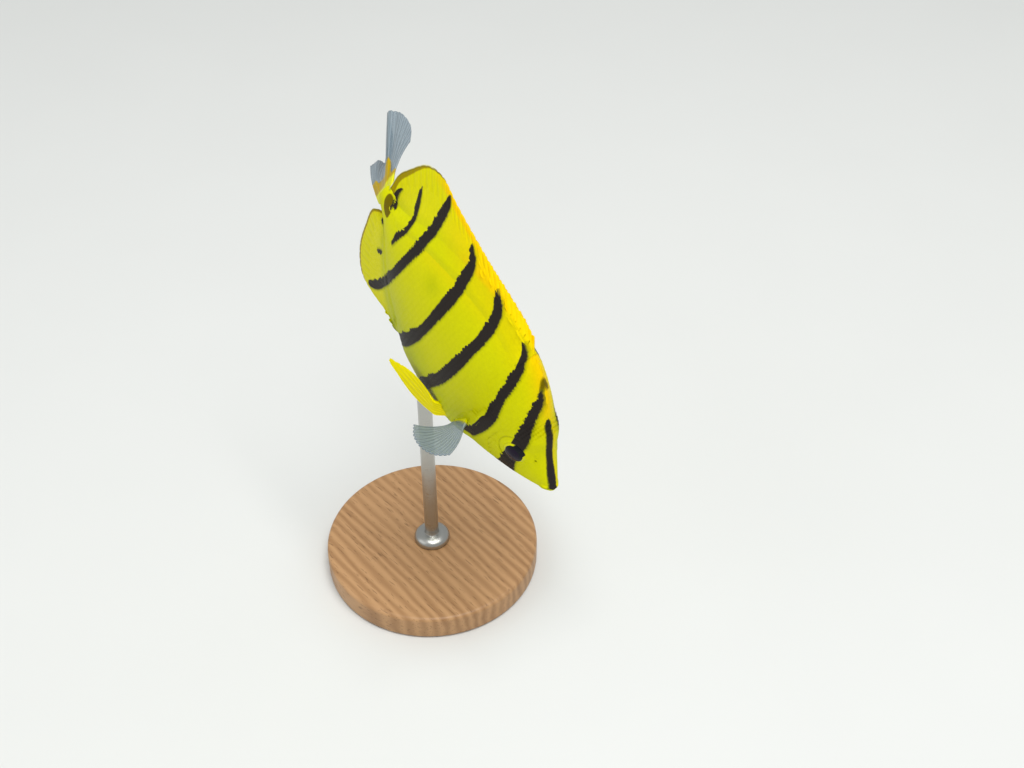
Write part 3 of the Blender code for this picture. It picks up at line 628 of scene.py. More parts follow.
# Materials
def add_node(tree, kind, inputs=(), output=0, **settings):
    """Adds a node with its settings, gives its inputs values or links, and returns one of its outputs.

    The inputs come in the sockets' order, or in a dictionary by name or number.
    """
    node = tree.nodes.new(kind)
    for key, value in settings.items():
        setattr(node, key, value)
    for key, value in (inputs.items() if isinstance(inputs, dict) else enumerate(inputs)):
        socket = node.inputs[key]
        if isinstance(value, bpy.types.NodeSocket):
            tree.links.new(value, socket)
        elif socket.type == "RGBA":
            socket.default_value = (*value, 1.0)
        else:
            socket.default_value = value
    return node.outputs[output] if node.outputs else None


def new_material(name, **constants):
    material = bpy.data.materials.new(name)
    material.use_nodes = True
    tree = material.node_tree
    shader = tree.nodes["Principled BSDF"]
    for key, value in constants.items():
        shader.inputs[key.replace("_", " ")].default_value = value
    return material, tree, shader


def fish_colour(tree, colours):
    """The fish's own colours, from the marking fields of its pieces."""
    add = partial(add_node, tree)
    fields = {name: add("ShaderNodeAttribute", output="Fac", attribute_name=name)
              for name in ("green", "bright", "gold", "olive", "front", "rear")}
    place = add("ShaderNodeTexCoord", output="Object")
    patchy = add("ShaderNodeTexNoise", {"Vector": place, "Scale": PER_MM / 7.0, "Detail": 3.0}, "Fac")
    fine = add("ShaderNodeTexNoise", {"Vector": place, "Scale": PER_MM / 0.9, "Detail": 2.0}, "Fac")
    uneven = add("ShaderNodeMath", (patchy, 0.45), operation="ADD")
    # The green field paints shade on the lower flank, broken up by noise.
    green = add("ShaderNodeMath", (fields["green"], uneven), operation="MULTIPLY")
    ground = add("ShaderNodeMix", {0: green, 6: colours.yellow, 7: colours.green}, 2, data_type="RGBA")
    ground = add("ShaderNodeMix", {0: fields["bright"], 6: ground, 7: colours.bright}, 2, data_type="RGBA")
    ground = add("ShaderNodeMix", {0: fields["gold"], 6: ground, 7: colours.gold}, 2, data_type="RGBA")
    tone = add("ShaderNodeMapRange", {"Value": fine, "To Min": 0.92, "To Max": 1.06})
    ground = add("ShaderNodeMix", {0: 1.0, 6: ground, 7: tone}, 2, data_type="RGBA", blend_type="MULTIPLY")
    olive = add("ShaderNodeMapRange", (fields["olive"], -0.12, 0.30), interpolation_type="SMOOTHSTEP")
    ground = add("ShaderNodeMix", {0: olive, 6: ground, 7: colours.olive}, 2, data_type="RGBA")
    # A bar's front edge is soft and greenish, its rear edge crisp
    wobble = add("ShaderNodeMath", (fine, 0.5, -0.25), operation="MULTIPLY_ADD")
    front = add("ShaderNodeMath", (fields["front"], wobble), operation="ADD")
    rear = add("ShaderNodeMath", (wobble, 0.5, fields["rear"]), operation="MULTIPLY_ADD")
    near = add("ShaderNodeMapRange", (front, -0.75, 0.20, 0.0, 0.55), interpolation_type="SMOOTHSTEP")
    ahead = add("ShaderNodeMapRange", (rear, -0.20, 0.05), interpolation_type="SMOOTHSTEP")
    halo = add("ShaderNodeMath", (near, ahead), operation="MULTIPLY")
    dusk = tuple(c * 0.45 for c in colours.green)
    ground = add("ShaderNodeMix", {0: halo, 6: ground, 7: dusk}, 2, data_type="RGBA")
    inside = add("ShaderNodeMapRange", (front, -0.15, 0.35), interpolation_type="SMOOTHSTEP")
    before = add("ShaderNodeMapRange", (rear, -0.06, 0.06), interpolation_type="SMOOTHSTEP")
    dark = add("ShaderNodeMath", (inside, before), operation="MULTIPLY")
    return add("ShaderNodeMix", {0: dark, 6: ground, 7: colours.dark}, 2, data_type="RGBA")


def fish_skin_material(colours):
    # Wet-looking fish skin kept matt: almost no white gloss, so that the yellow stays pure.
    material, tree, shader = new_material("satin_fish_skin", Roughness=0.46, Specular_IOR_Level=0.07, IOR=1.38)
    add = partial(add_node, tree)
    # Painted shade: the skin is darkened in the mouth's slit, the gap behind the gill cover, the folds round the eye
    # and the nostrils' pits.
    painted_crease_shade = add("ShaderNodeAttribute", output="Fac", attribute_name="painted_crease_shade")
    shade = add("ShaderNodeMapRange", (painted_crease_shade, 0.0, 1.0, 1.0, 0.35))
    colour = add("ShaderNodeMix", {0: 1.0, 6: fish_colour(tree, colours), 7: shade}, 2, data_type="RGBA",
                 blend_type="MULTIPLY")
    tree.links.new(colour, shader.inputs["Base Color"])
    # Pores and tiny scales of the face, 0.42 mm apart
    place = add("ShaderNodeTexCoord", output="Object")
    pores = add("ShaderNodeTexVoronoi", {"Vector": place, "Scale": PER_MM / 0.42}, "Distance", feature="SMOOTH_F1")
    relief = add("ShaderNodeBump", {"Height": pores, "Strength": 0.35, "Distance": 0.00008})
    tree.links.new(relief, shader.inputs["Normal"])
    return material


def fish_scale_material(colours):
    # Scales: the same pigment under a thin clear layer, with fine growth rings that soften the gloss.
    material, tree, shader = new_material("lacquered_fish_scale", Roughness=0.42, Specular_IOR_Level=0.07, IOR=1.40)
    add = partial(add_node, tree)
    rim = add("ShaderNodeAttribute", output="Fac", attribute_name="rim")
    # Painted shade: each scale turns a little darker and more olive towards its rim.
    painted_rim_shade = add("ShaderNodeMapRange", (rim, 0.55, 1.0, 0.0, 0.06), interpolation_type="SMOOTHSTEP")
    shade = add("ShaderNodeMix", {0: painted_rim_shade, 6: (1.0, 1.0, 1.0), 7: (0.55, 0.60, 0.30)}, 2, data_type="RGBA")
    colour = add("ShaderNodeMix", {0: 1.0, 6: fish_colour(tree, colours), 7: shade}, 2, data_type="RGBA",
                 blend_type="MULTIPLY")
    tree.links.new(colour, shader.inputs["Base Color"])
    turn = add("ShaderNodeMath", (rim, 40.0), operation="MULTIPLY")
    rings = add("ShaderNodeMath", (turn,), operation="SINE")
    relief = add("ShaderNodeBump", {"Height": rings, "Strength": 0.25, "Distance": 0.00002})
    tree.links.new(relief, shader.inputs["Normal"])
    return material


def ray_joints(tree, shader, along, ridge, apart):
    """Relief of the joints across a fin's rays, at a distance in millimetres."""
    add = partial(add_node, tree)
    turn = add("ShaderNodeMath", (along, ROUND / apart), operation="MULTIPLY")
    joints = add("ShaderNodeMath", (turn,), operation="SINE")
    height = add("ShaderNodeMath", (joints, ridge), operation="MULTIPLY")
    relief = add("ShaderNodeBump", {"Height": height, "Strength": 0.4, "Distance": 0.00003})
    tree.links.new(relief, shader.inputs["Normal"])


def fin_material(colours):
    # Pigmented fin membrane on bony rays: matt, with painted shade a little darker between the rays, and an olive
    # margin.
    material, tree, shader = new_material("pigmented_fin_membrane", Roughness=0.44, Specular_IOR_Level=0.07,
                                          IOR=1.40)
    add = partial(add_node, tree)
    ridge, margin, along, pale = [add("ShaderNodeAttribute", output="Fac", attribute_name=name)
                                  for name in ("ridge", "margin", "along", "pale")]
    deep = add("ShaderNodeAttribute", output="Fac", attribute_name="bright")
    # Painted shade in the grooves between the rays, deeper on the bright fins; over the rays the colour is lifted a
    # touch, a faint painted highlight.
    floor = add("ShaderNodeMath", (deep, -0.22, 1.0), operation="MULTIPLY_ADD")
    ray_groove_shade = add("ShaderNodeMapRange", (ridge, 0.0, 1.0, floor, 1.03))
    colour = add("ShaderNodeMix", {0: 1.0, 6: fish_colour(tree, colours), 7: ray_groove_shade}, 2, data_type="RGBA",
                 blend_type="MULTIPLY")
    # The margin is golden brown inside and darkens to olive at the fin's very edge
    inside = add("ShaderNodeMapRange", (margin, -0.15, 0.25), interpolation_type="SMOOTHSTEP")
    edge = add("ShaderNodeMapRange", (along, 0.10, 0.60, 0.9, 0.0), interpolation_type="SMOOTHSTEP")
    brown = add("ShaderNodeMix", {0: edge, 6: colours.margin, 7: colours.olive}, 2, data_type="RGBA")
    colour = add("ShaderNodeMix", {0: inside, 6: colour, 7: brown}, 2, data_type="RGBA")
    # Painted highlight: a pale line along the fin's very edge.
    colour = add("ShaderNodeMix", {0: pale, 6: colour, 7: colours.pale}, 2, data_type="RGBA")
    tree.links.new(colour, shader.inputs["Base Color"])
    ray_joints(tree, shader, along, ridge, 0.55)
    return material


def glassy_fin_material(colours):
    # Bare fin membrane: nearly clear film stretched between milky rays, with yellow and ochre at its root.
    material, tree, shader = new_material("glassy_fin_membrane", Roughness=0.30, Specular_IOR_Level=0.30, IOR=1.40)
    add = partial(add_node, tree)
    yolk, tan, ridge, along = [add("ShaderNodeAttribute", output="Fac", attribute_name=name)
                               for name in ("yolk", "tan", "ridge", "along")]
    place = add("ShaderNodeTexCoord", output="Object")
    patchy = add("ShaderNodeTexNoise", {"Vector": place, "Scale": PER_MM / 2.2, "Detail": 3.0}, "Fac")
    film = add("ShaderNodeMix", {0: ridge, 6: colours.clear, 7: colours.milky}, 2, data_type="RGBA")
    cloud = add("ShaderNodeMath", (patchy, 0.35), operation="MULTIPLY")
    film = add("ShaderNodeMix", {0: cloud, 6: film, 7: colours.cloud}, 2, data_type="RGBA")
    # Both limits waver by half a millimetre
    outer = add("ShaderNodeMath", (patchy, 1.0, tan), operation="MULTIPLY_ADD")
    ochre = add("ShaderNodeMapRange", (outer, 0.2, 0.9), interpolation_type="SMOOTHSTEP")
    inner = add("ShaderNodeMath", (patchy, 1.0, yolk), operation="MULTIPLY_ADD")
    yellow = add("ShaderNodeMapRange", (inner, 0.0, 1.1), interpolation_type="SMOOTHSTEP")
    colour = add("ShaderNodeMix", {0: ochre, 6: film, 7: colours.ochre}, 2, data_type="RGBA")
    colour = add("ShaderNodeMix", {0: yellow, 6: colour, 7: colours.yellow}, 2, data_type="RGBA")
    tree.links.new(colour, shader.inputs["Base Color"])
    thin = add("ShaderNodeMath", (ridge, 0.22, 0.58), operation="MULTIPLY_ADD")
    tree.links.new(add("ShaderNodeMath", (thin, ochre), operation="MAXIMUM"), shader.inputs["Alpha"])
    ray_joints(tree, shader, along, ridge, 0.5)
    return material


def eye_material(colours):
    # Living eye: dark pupil and iris under a wet cornea, whose gloss stays low so that the dark reads.
    material, tree, shader = new_material("wet_cornea", Roughness=0.25, Specular_IOR_Level=0.10, IOR=1.376,
                                          Coat_Weight=0.18, Coat_Roughness=0.05, Coat_IOR=1.376)
    add = partial(add_node, tree)
    radius, bar, eye_rim_highlight = [add("ShaderNodeAttribute", output="Fac", attribute_name=name)
                          for name in ("radius", "bar", "eye_rim_highlight")]
    place = add("ShaderNodeTexCoord", output="Object")
    rough = add("ShaderNodeTexNoise", {"Vector": place, "Scale": PER_MM / 0.8, "Detail": 3.0}, "Fac")
    uneven = add("ShaderNodeMath", (rough, 0.25, radius), operation="MULTIPLY_ADD")
    outer = add("ShaderNodeMapRange", (uneven, 1.75, 1.95), interpolation_type="SMOOTHSTEP")
    colour = add("ShaderNodeMix", {0: outer, 6: colours.pupil, 7: colours.iris}, 2, data_type="RGBA")
    clear_of_bar = add("ShaderNodeMath", (1.0, bar), operation="SUBTRACT")
    rim = add("ShaderNodeMapRange", (uneven, 2.55, 2.70), interpolation_type="SMOOTHSTEP")
    ring = add("ShaderNodeMath", (rim, clear_of_bar), operation="MULTIPLY")
    colour = add("ShaderNodeMix", {0: ring, 6: colour, 7: colours.yellow}, 2, data_type="RGBA")
    # Painted highlight: a pale arc on the orbit's lower rim, where it crosses the dark bar.
    lit = add("ShaderNodeMapRange", (eye_rim_highlight, 0.35, 0.75), interpolation_type="SMOOTHSTEP")
    pale = add("ShaderNodeMath", (lit, bar), operation="MULTIPLY")
    colour = add("ShaderNodeMix", {0: pale, 6: colour, 7: colours.eye_rim_highlight}, 2, data_type="RGBA")
    tree.links.new(colour, shader.inputs["Base Color"])
    return material


def beech_material(stand):
    # Oiled beech: pale wood with slightly darker year rings and short dark pores, satin to the eye.
    material, tree, shader = new_material("oiled_beech", Specular_IOR_Level=0.4)
    add = partial(add_node, tree)
    place = add("ShaderNodeTexCoord", output="Object")
    board = add("ShaderNodeMapping", {"Vector": place, "Rotation": (0.0, 0.22, 0.35), "Scale": (0.16, 1.0, 1.0)})
    bend = add("ShaderNodeTexNoise", {"Vector": board, "Scale": 90.0, "Detail": 3.0}, "Fac")
    rings = add("ShaderNodeTexWave", {"Vector": board, "Scale": 2.0 / (ROUND * stand.grain), "Distortion": 4.0,
                                      "Detail": 2.0, "Detail Scale": 1.5}, "Fac",
                wave_type="BANDS", bands_direction="Y")
    cut = add("ShaderNodeMapping", {"Vector": place, "Rotation": (0.0, 0.0, 0.35), "Scale": (0.12, 1.0, 1.0)})
    pores = add("ShaderNodeTexNoise", {"Vector": cut, "Scale": PER_MM / 0.45, "Detail": 2.0}, "Fac")
    late = add("ShaderNodeMath", (rings, bend), operation="MULTIPLY")
    colour = add("ShaderNodeMix", {0: late, 6: stand.wood, 7: stand.grain_dark}, 2, data_type="RGBA")
    dots = add("ShaderNodeMapRange", (pores, 0.60, 0.70, 0.0, 0.5), interpolation_type="SMOOTHSTEP")
    deep = tuple(c * 0.45 for c in stand.grain_dark)
    colour = add("ShaderNodeMix", {0: dots, 6: colour, 7: deep}, 2, data_type="RGBA")
    tree.links.new(colour, shader.inputs["Base Color"])
    gloss = add("ShaderNodeMapRange", (pores, 0.0, 1.0, 0.36, 0.55))
    tree.links.new(gloss, shader.inputs["Roughness"])
    relief = add("ShaderNodeBump", {"Height": pores, "Strength": 0.3, "Distance": 0.00006})
    tree.links.new(relief, shader.inputs["Normal"])
    return material


def steel_material(stand):
    # Brushed stainless steel: fine lines round the rod break up its reflections.
    material, tree, shader = new_material("brushed_steel", Metallic=1.0)
    add = partial(add_node, tree)
    place = add("ShaderNodeTexCoord", output="Object")
    lines = add("ShaderNodeMapping", {"Vector": place, "Scale": (0.05, 0.05, 1.0)})
    scratch = add("ShaderNodeTexNoise", {"Vector": lines, "Scale": PER_MM / 0.18, "Detail": 3.0}, "Fac")
    dull = tuple(c * 0.86 for c in stand.steel)
    colour = add("ShaderNodeMix", {0: scratch, 6: dull, 7: stand.steel}, 2, data_type="RGBA")
    tree.links.new(colour, shader.inputs["Base Color"])
    gloss = add("ShaderNodeMapRange", (scratch, 0.0, 1.0, 0.22, 0.40))
    tree.links.new(gloss, shader.inputs["Roughness"])
    relief = add("ShaderNodeBump", {"Height": scratch, "Strength": 0.25, "Distance": 0.00002})
    tree.links.new(relief, shader.inputs["Normal"])
    return material


def floor_material(studio):
    # Matt painted board, with a faint unevenness so that it doesn't read as a void.
    material, tree, shader = new_material("matt_board", Roughness=0.85, Specular_IOR_Level=0.2)
    add = partial(add_node, tree)
    place = add("ShaderNodeTexCoord", output="Object")
    cloudy = add("ShaderNodeTexNoise", {"Vector": place, "Scale": PER_MM / 60.0, "Detail": 3.0}, "Fac")
    shaded = tuple(c * 0.97 for c in studio.floor)
    colour = add("ShaderNodeMix", {0: cloudy, 6: shaded, 7: studio.floor}, 2, data_type="RGBA")
    tree.links.new(colour, shader.inputs["Base Color"])
    return material


def material_once(name, maker, settings):
    return bpy.data.materials.get(name) or maker(settings)


# Skin
def skin_places():
    """Places of the skin's rings: closest at the snout, where the lips need it."""
    tip = -SNOUT_TIP * (1 - np.linspace(0.02, 1.0, 14) ** 2)
    snout = np.arange(0.0012, 0.060, 0.0012)
    head = np.arange(0.060, 0.300, 0.0026)
    rear = np.linspace(0.300, 1.0, 168)
    return np.concatenate([tip, snout, head, rear])


def ring_angles(count):
    """Angles round a section, from the left side over the back, spread evenly over its height."""
    t = np.linspace(-1.0, 1.0, count // 2, endpoint=False)
    up = np.arcsin(np.clip(1.30 * t - 0.30 * t ** 3, -1.0, 1.0))
    return np.concatenate([up, up + math.pi])


def face_relief(points, base, normal, angle):
    """Height of the face's forms over the body, in metres, and how much painted shade each point gets in the face's
    creases and pits.
    """
    x, y, z = points[..., 0], points[..., 1], points[..., 2]
    up = z - (MOUTH_HEIGHT + MOUTH_SLOPE * x)
    mouth = ramp(-x, -MOUTH_CORNER, -MOUTH_CORNER + 0.016)
    near = mouth * ramp(-np.abs(x), -0.05, -0.02)
    height = near * LIP_HEIGHT * (bump(up - 0.0085, LIP_WIDTH) + 0.9 * bump(up + 0.0080, LIP_WIDTH))
    slit = bump(up, 0.0016) * ramp(-x, -MOUTH_CORNER - 0.004, -MOUTH_CORNER + 0.004)
    height -= 0.0075 * slit
    # Painted shade in the mouth's slit, the gill cover's gap and fold, the fold behind the eye and the nostrils'
    # pits.
    painted_crease_shade = 0.9 * slit
    part = x / gill_edge(angle)
    cheek = np.exp(-((np.sin(angle) + 0.25) / 0.45) ** 4)
    rise = np.clip((part - COVER_START) / (1.0 - COVER_START), 0.0, 1.0) ** 1.5
    rise = rise * (1 - ramp(part, 1.0, 1.016))
    fold = 0.6 * bump(part - COVER_FOLD, 0.030)
    gap = bump(part - 1.014, 0.009) * np.exp(-((np.sin(angle) + 0.20) / 0.62) ** 4)
    height += cheek * COVER_STEP * (rise - fold) - 0.0022 * gap
    painted_crease_shade = np.maximum(painted_crease_shade, 0.55 * gap + 0.20 * cheek * bump(part - COVER_FOLD, 0.012))
    height = height * STANDARD_LENGTH
    for side in (-1, 1):
        centre, out = face_frame(*EYE_PLACE, side)[:2]
        away = base - centre
        depth = away @ out
        r = np.linalg.norm(away - depth[..., None] * out, axis=-1) / STANDARD_LENGTH
        here = (np.sign(y) == side) & (r < 0.09)
        rim = 0.0024 * bump(r - (EYE_RADIUS + 0.6 * RIM_RADIUS), 0.0042)
        sunk = -0.016 * (1 - ramp(r, EYE_RADIUS - 0.010, EYE_RADIUS))
        behind = ramp(x - EYE_PLACE[0], 0.0, 0.030)
        pouch = behind * (0.0012 * bump(r - 0.062, 0.004) - 0.0020 * bump(r - EYE_FOLD, 0.0026))
        height += np.where(here, (rim + sunk + pouch) * STANDARD_LENGTH, 0.0)
        brow = BROW[3] * bump(np.hypot(x - BROW[0], z - BROW[1]), BROW[2])
        height += np.where(np.sign(y) == side, brow * STANDARD_LENGTH, 0.0)
        painted_crease_shade = np.where(here, np.maximum(painted_crease_shade, 0.45 * behind * bump(r - EYE_FOLD, 0.0022)), painted_crease_shade)
        for spot in NOSTRILS:
            centre = face_frame(*spot, side)[0]
            r = np.linalg.norm(base - centre, axis=-1) / STANDARD_LENGTH
            rim = NOSTRIL_RIM[2] * bump(r - NOSTRIL_RIM[0], NOSTRIL_RIM[1])
            height += STANDARD_LENGTH * (rim - NOSTRIL_PIT[1] * bump(r, NOSTRIL_PIT[0]))
            painted_crease_shade = np.maximum(painted_crease_shade, bump(r, NOSTRIL_PIT[0]))
    return height, painted_crease_shade


def skin_grid(depth):
    """The skin's points: body coordinates, angle round the body and world points."""
    places = skin_places()[:, None]
    angle = ring_angles(224)[None]
    points = section(places, angle)
    base = world(points)
    closed = np.concatenate([base[:, -1:], base, base[:, :1]], axis=1)
    along = np.gradient(base, axis=0)
    around = (closed[:, 2:] - closed[:, :-2])
    normal = unit(np.cross(around, along))
    middle = world(section(places, np.zeros((1, 1))) * np.array([1.0, 0.0, 1.0]))
    normal *= np.sign(((base - middle) * normal).sum(axis=-1, keepdims=True))
    height, painted_crease_shade = face_relief(points, base, normal, np.broadcast_to(angle, points.shape[:2]))
    return points, base + normal * (height - depth)[..., None], painted_crease_shade


class FISH_OT_skin(bpy.types.Operator):
    """Makes the one skin that covers head, body and tail stem, with its face and markings"""
    bl_idname = "butterflyfish.skin"
    bl_label = "Skin"

    def execute(self, context):
        colours = context.scene.fish_colours
        points, placed, painted_crease_shade = skin_grid(context.scene.fish_sizes.coat_depth)
        verts = np.concatenate([placed.reshape(-1, 3), placed[:1].mean(axis=1), placed[-1:].mean(axis=1)])
        body = np.concatenate([points.reshape(-1, 3), points[:1].mean(axis=1), points[-1:].mean(axis=1)])
        mesh = new_mesh("skin", verts, capped_faces(*placed.shape[:2]))
        outwards(mesh)
        write_fields(mesh, body_marks(body))
        # Painted shade of the creases; the point at the snout's tip is darkened too.
        write_field(mesh, "painted_crease_shade", np.concatenate([painted_crease_shade.ravel(), [0.9, 0.0]]))
        skin = new_object("skin", mesh, material_once("satin_fish_skin", fish_skin_material, colours))
        finish_piece(skin, "fish_skin", "head", "torso", "tail_stem")
        return {"FINISHED"}


# Scales
def scale_shape():
    """One scale: a thin plate with a blunt root and a rounded free edge, 1 long and 1 wide."""
    rim = [(-0.06, -0.30), (0.25, -0.47), (0.62, -0.50), (0.86, -0.36), (1.00, -0.12), (1.00, 0.12),
           (0.86, 0.36), (0.62, 0.50), (0.25, 0.47), (-0.06, 0.30)]
    verts = [(x, y, -0.5) for x, y in rim] + [(x, y, 0.5) for x, y in rim] + [(0.55, 0.0, 0.9)]
    count = len(rim)
    faces = [tuple(reversed(range(count)))]
    for i in range(count):
        j = (i + 1) % count
        faces.append((i, j, j + count))
        faces.append((i, j + count, i + count))
        faces.append((i + count, j + count, 2 * count))
    mesh = new_mesh("scale_shape", verts, faces)
    outwards(mesh)
    co = np.array(verts)
    write_field(mesh, "local", co, "FLOAT_VECTOR")
    write_field(mesh, "rim", [1.0] * (2 * count) + [0.0])
    return bpy.data.objects.new("scale_shape", mesh)


def scale_tree(material):
    """Node tree that sets one scale on each point of a mesh, turned and sized by the point's fields."""
    tree = bpy.data.node_groups.new("set_scales", "GeometryNodeTree")
    sockets = {"Roots": "Geometry", "Scale shape": "Object", "Thickness": "Float", "Lift": "Float",
               "Variation": "Float", "Seed": "Int"}
    for name, kind in sockets.items():
        tree.interface.new_socket(name, in_out="INPUT", socket_type="NodeSocket" + kind)
    tree.interface.new_socket("Scales", in_out="OUTPUT", socket_type="NodeSocketGeometry")
    add = partial(add_node, tree)
    start = {name: add("NodeGroupInput", output=name) for name in sockets}
    shape = add("GeometryNodeObjectInfo", {"Object": start["Scale shape"]}, "Geometry")
    turn = add("GeometryNodeInputNamedAttribute", {"Name": "turn"}, "Attribute", data_type="QUATERNION")
    size = add("GeometryNodeInputNamedAttribute", {"Name": "size"}, "Attribute", data_type="FLOAT_VECTOR")
    least = add("ShaderNodeMath", (1.0, start["Variation"]), operation="SUBTRACT")
    most = add("ShaderNodeMath", (1.0, start["Variation"]), operation="ADD")
    grown = add("FunctionNodeRandomValue", {2: least, 3: most, "Seed": start["Seed"]}, 1, data_type="FLOAT")
    varied = add("ShaderNodeVectorMath", {0: size, "Scale": grown}, operation="SCALE")
    upright = add("ShaderNodeCombineXYZ", {"Z": start["Thickness"]})
    full = add("ShaderNodeVectorMath", (varied, upright), operation="ADD")
    back_lift = add("ShaderNodeMath", (start["Lift"], -1.0), operation="MULTIPLY")
    tilt = add("ShaderNodeCombineXYZ", {"Y": back_lift})
    raised = add("FunctionNodeEulerToRotation", (tilt,))
    lifted = add("FunctionNodeRotateRotation", (turn, raised), rotation_space="LOCAL")
    copies = add("GeometryNodeInstanceOnPoints", {"Points": start["Roots"], "Instance": shape, "Rotation": lifted,
                                                  "Scale": full})
    real = add("GeometryNodeRealizeInstances", (copies,))
    coloured = add("GeometryNodeSetMaterial", {"Geometry": real, "Material": material})
    add("NodeGroupOutput", (coloured,))
    return tree


def turns(along, normal):
    """Quaternions that turn X along the given direction and Z along the normal."""
    x = unit(along - (along * normal).sum(axis=-1, keepdims=True) * normal)
    frames = np.stack([x, np.cross(normal, x), normal], axis=-1)
    return np.array([Matrix(m).to_quaternion() for m in frames.tolist()])


def scale_marks(mesh, marks):
    """Marks each scale point by point, but a bar's rear edge partly scale by scale, so that it is toothed."""
    local = read_field(mesh, "local", 3)
    place = read_field(mesh, "place", 3)
    reach = (local[:, :1] * read_field(mesh, "ahead", 3) + local[:, 1:2] * read_field(mesh, "above", 3))
    write_fields(mesh, marks(place + reach, place + 0.55 * read_field(mesh, "ahead", 3)))


def set_scales(name, roots, along, normal, size, steps, marks, uv, sizes, material):
    """Sets scales at the roots and returns them as one closed-plate mesh object.

    steps holds each root's body coordinates and how they change along and across its scale.
    """
    mesh = bpy.data.meshes.new(name + "_roots")
    mesh.from_pydata(np.asarray(roots).tolist(), [], [])
    layer = mesh.attributes.new("turn", "QUATERNION", "POINT")
    layer.data.foreach_set("value", turns(along, normal).astype(np.float32).ravel())
    write_field(mesh, "size", np.concatenate([size, np.zeros((len(size), 1))], axis=1), "FLOAT_VECTOR")
    write_field(mesh, "root_uv", np.concatenate([uv, np.zeros((len(uv), 1))], axis=1), "FLOAT_VECTOR")
    for key, values in zip(("place", "ahead", "above"), steps):
        write_field(mesh, key, values, "FLOAT_VECTOR")
    obj = bpy.data.objects.new(name, mesh)
    bpy.context.scene.collection.objects.link(obj)
    shape = scale_shape()
    bpy.context.scene.collection.objects.link(shape)
    tree = scale_tree(material)
    modifier = obj.modifiers.new("scales", "NODES")
    modifier.node_group = tree
    values = {"Scale shape": shape, "Thickness": sizes.scale_thickness, "Lift": sizes.scale_lift,
              "Variation": SCALE_VARIATION, "Seed": sizes.seed}
    for item in tree.interface.items_tree:
        if item.name in values:
            modifier[item.identifier] = values[item.name]
    graph = bpy.context.evaluated_depsgraph_get()
    result = bpy.data.meshes.new_from_object(obj.evaluated_get(graph))
    bpy.data.objects.remove(obj)
    bpy.data.objects.remove(shape)
    bpy.data.node_groups.remove(tree)
    piece = new_object(name, result, material)
    result.set_sharp_from_angle(angle=math.radians(SCALE_SHARP))
    scale_marks(result, marks)
    local = read_field(result, "local", 3)
    root = read_field(result, "root_uv", 3)
    flat = root[:, :2] + (local[:, :2] - np.array([0.5, 0.0])) * BAKE_PATCH
    corner = np.zeros(len(result.loops), dtype=np.int32)
    result.loops.foreach_get("vertex_index", corner)
    layer = result.uv_layers.new(name="OFBake")
    layer.uv.foreach_set("vector", flat[corner].astype(np.float32).ravel())
    return piece


def body_lattice(sizes, side):
    """Roots of the body's scales on one side, in rows that run from the head to the tail."""
    spacing = sizes.scale_spacing / STANDARD_LENGTH
    x = 0.075
    columns = []
    while x < 0.995:
        local = spacing * (0.58 + 0.42 * float(ramp(x, 0.16, 0.36))) * (1 - 0.40 * float(ramp(x, 0.78, 0.98)))
        columns.append((x, local))
        x += local
    rows = []
    up = 0.0
    while up < 0.42:
        rows.append(up)
        up += spacing * 0.86 * (1 - 0.30 * float(ramp(up, 0.10, 0.36)))
    rows = np.array(sorted(set([-r for r in rows] + rows)))
    angle = np.linspace(-math.pi / 2, math.pi / 2, 241)
    roots = []
    for j, (x, local) in enumerate(columns):
        ring = section(np.full_like(angle, x), angle)
        arc = np.concatenate([[0.0], np.cumsum(np.linalg.norm(np.diff(ring, axis=0), axis=1))])
        arc -= np.interp(0.0, angle, arc)
        shrink = min(1.0, 0.62 + 0.38 * float(ramp(x, 0.16, 0.36))) * (1 - 0.35 * float(ramp(x, 0.80, 0.98)))
        place = (rows + (rows[len(rows) // 2 + 1] / 2 if j % 2 else 0.0)) * shrink
        step_up = np.gradient(place)
        keep = (place > arc[0] + 0.004) & (place < arc[-1] - 0.004)
        for s, row in zip(place[keep], step_up[keep]):
            roots.append((x, float(np.interp(s, arc, angle)), local, row))
    roots = np.array(roots)
    x, angle = roots[:, 0], roots[:, 1]
    angle = np.where(side > 0, angle, math.pi - angle)
    points = section(x, angle)
    away = np.hypot(x - EYE_PLACE[0], points[:, 2] - EYE_PLACE[1])
    lips = x > 0.075 + 0.02 * np.abs(np.sin(angle))
    keep = (away > EYE_CLEAR) & lips
    return points[keep], angle[keep], roots[keep, 2], roots[keep, 3]


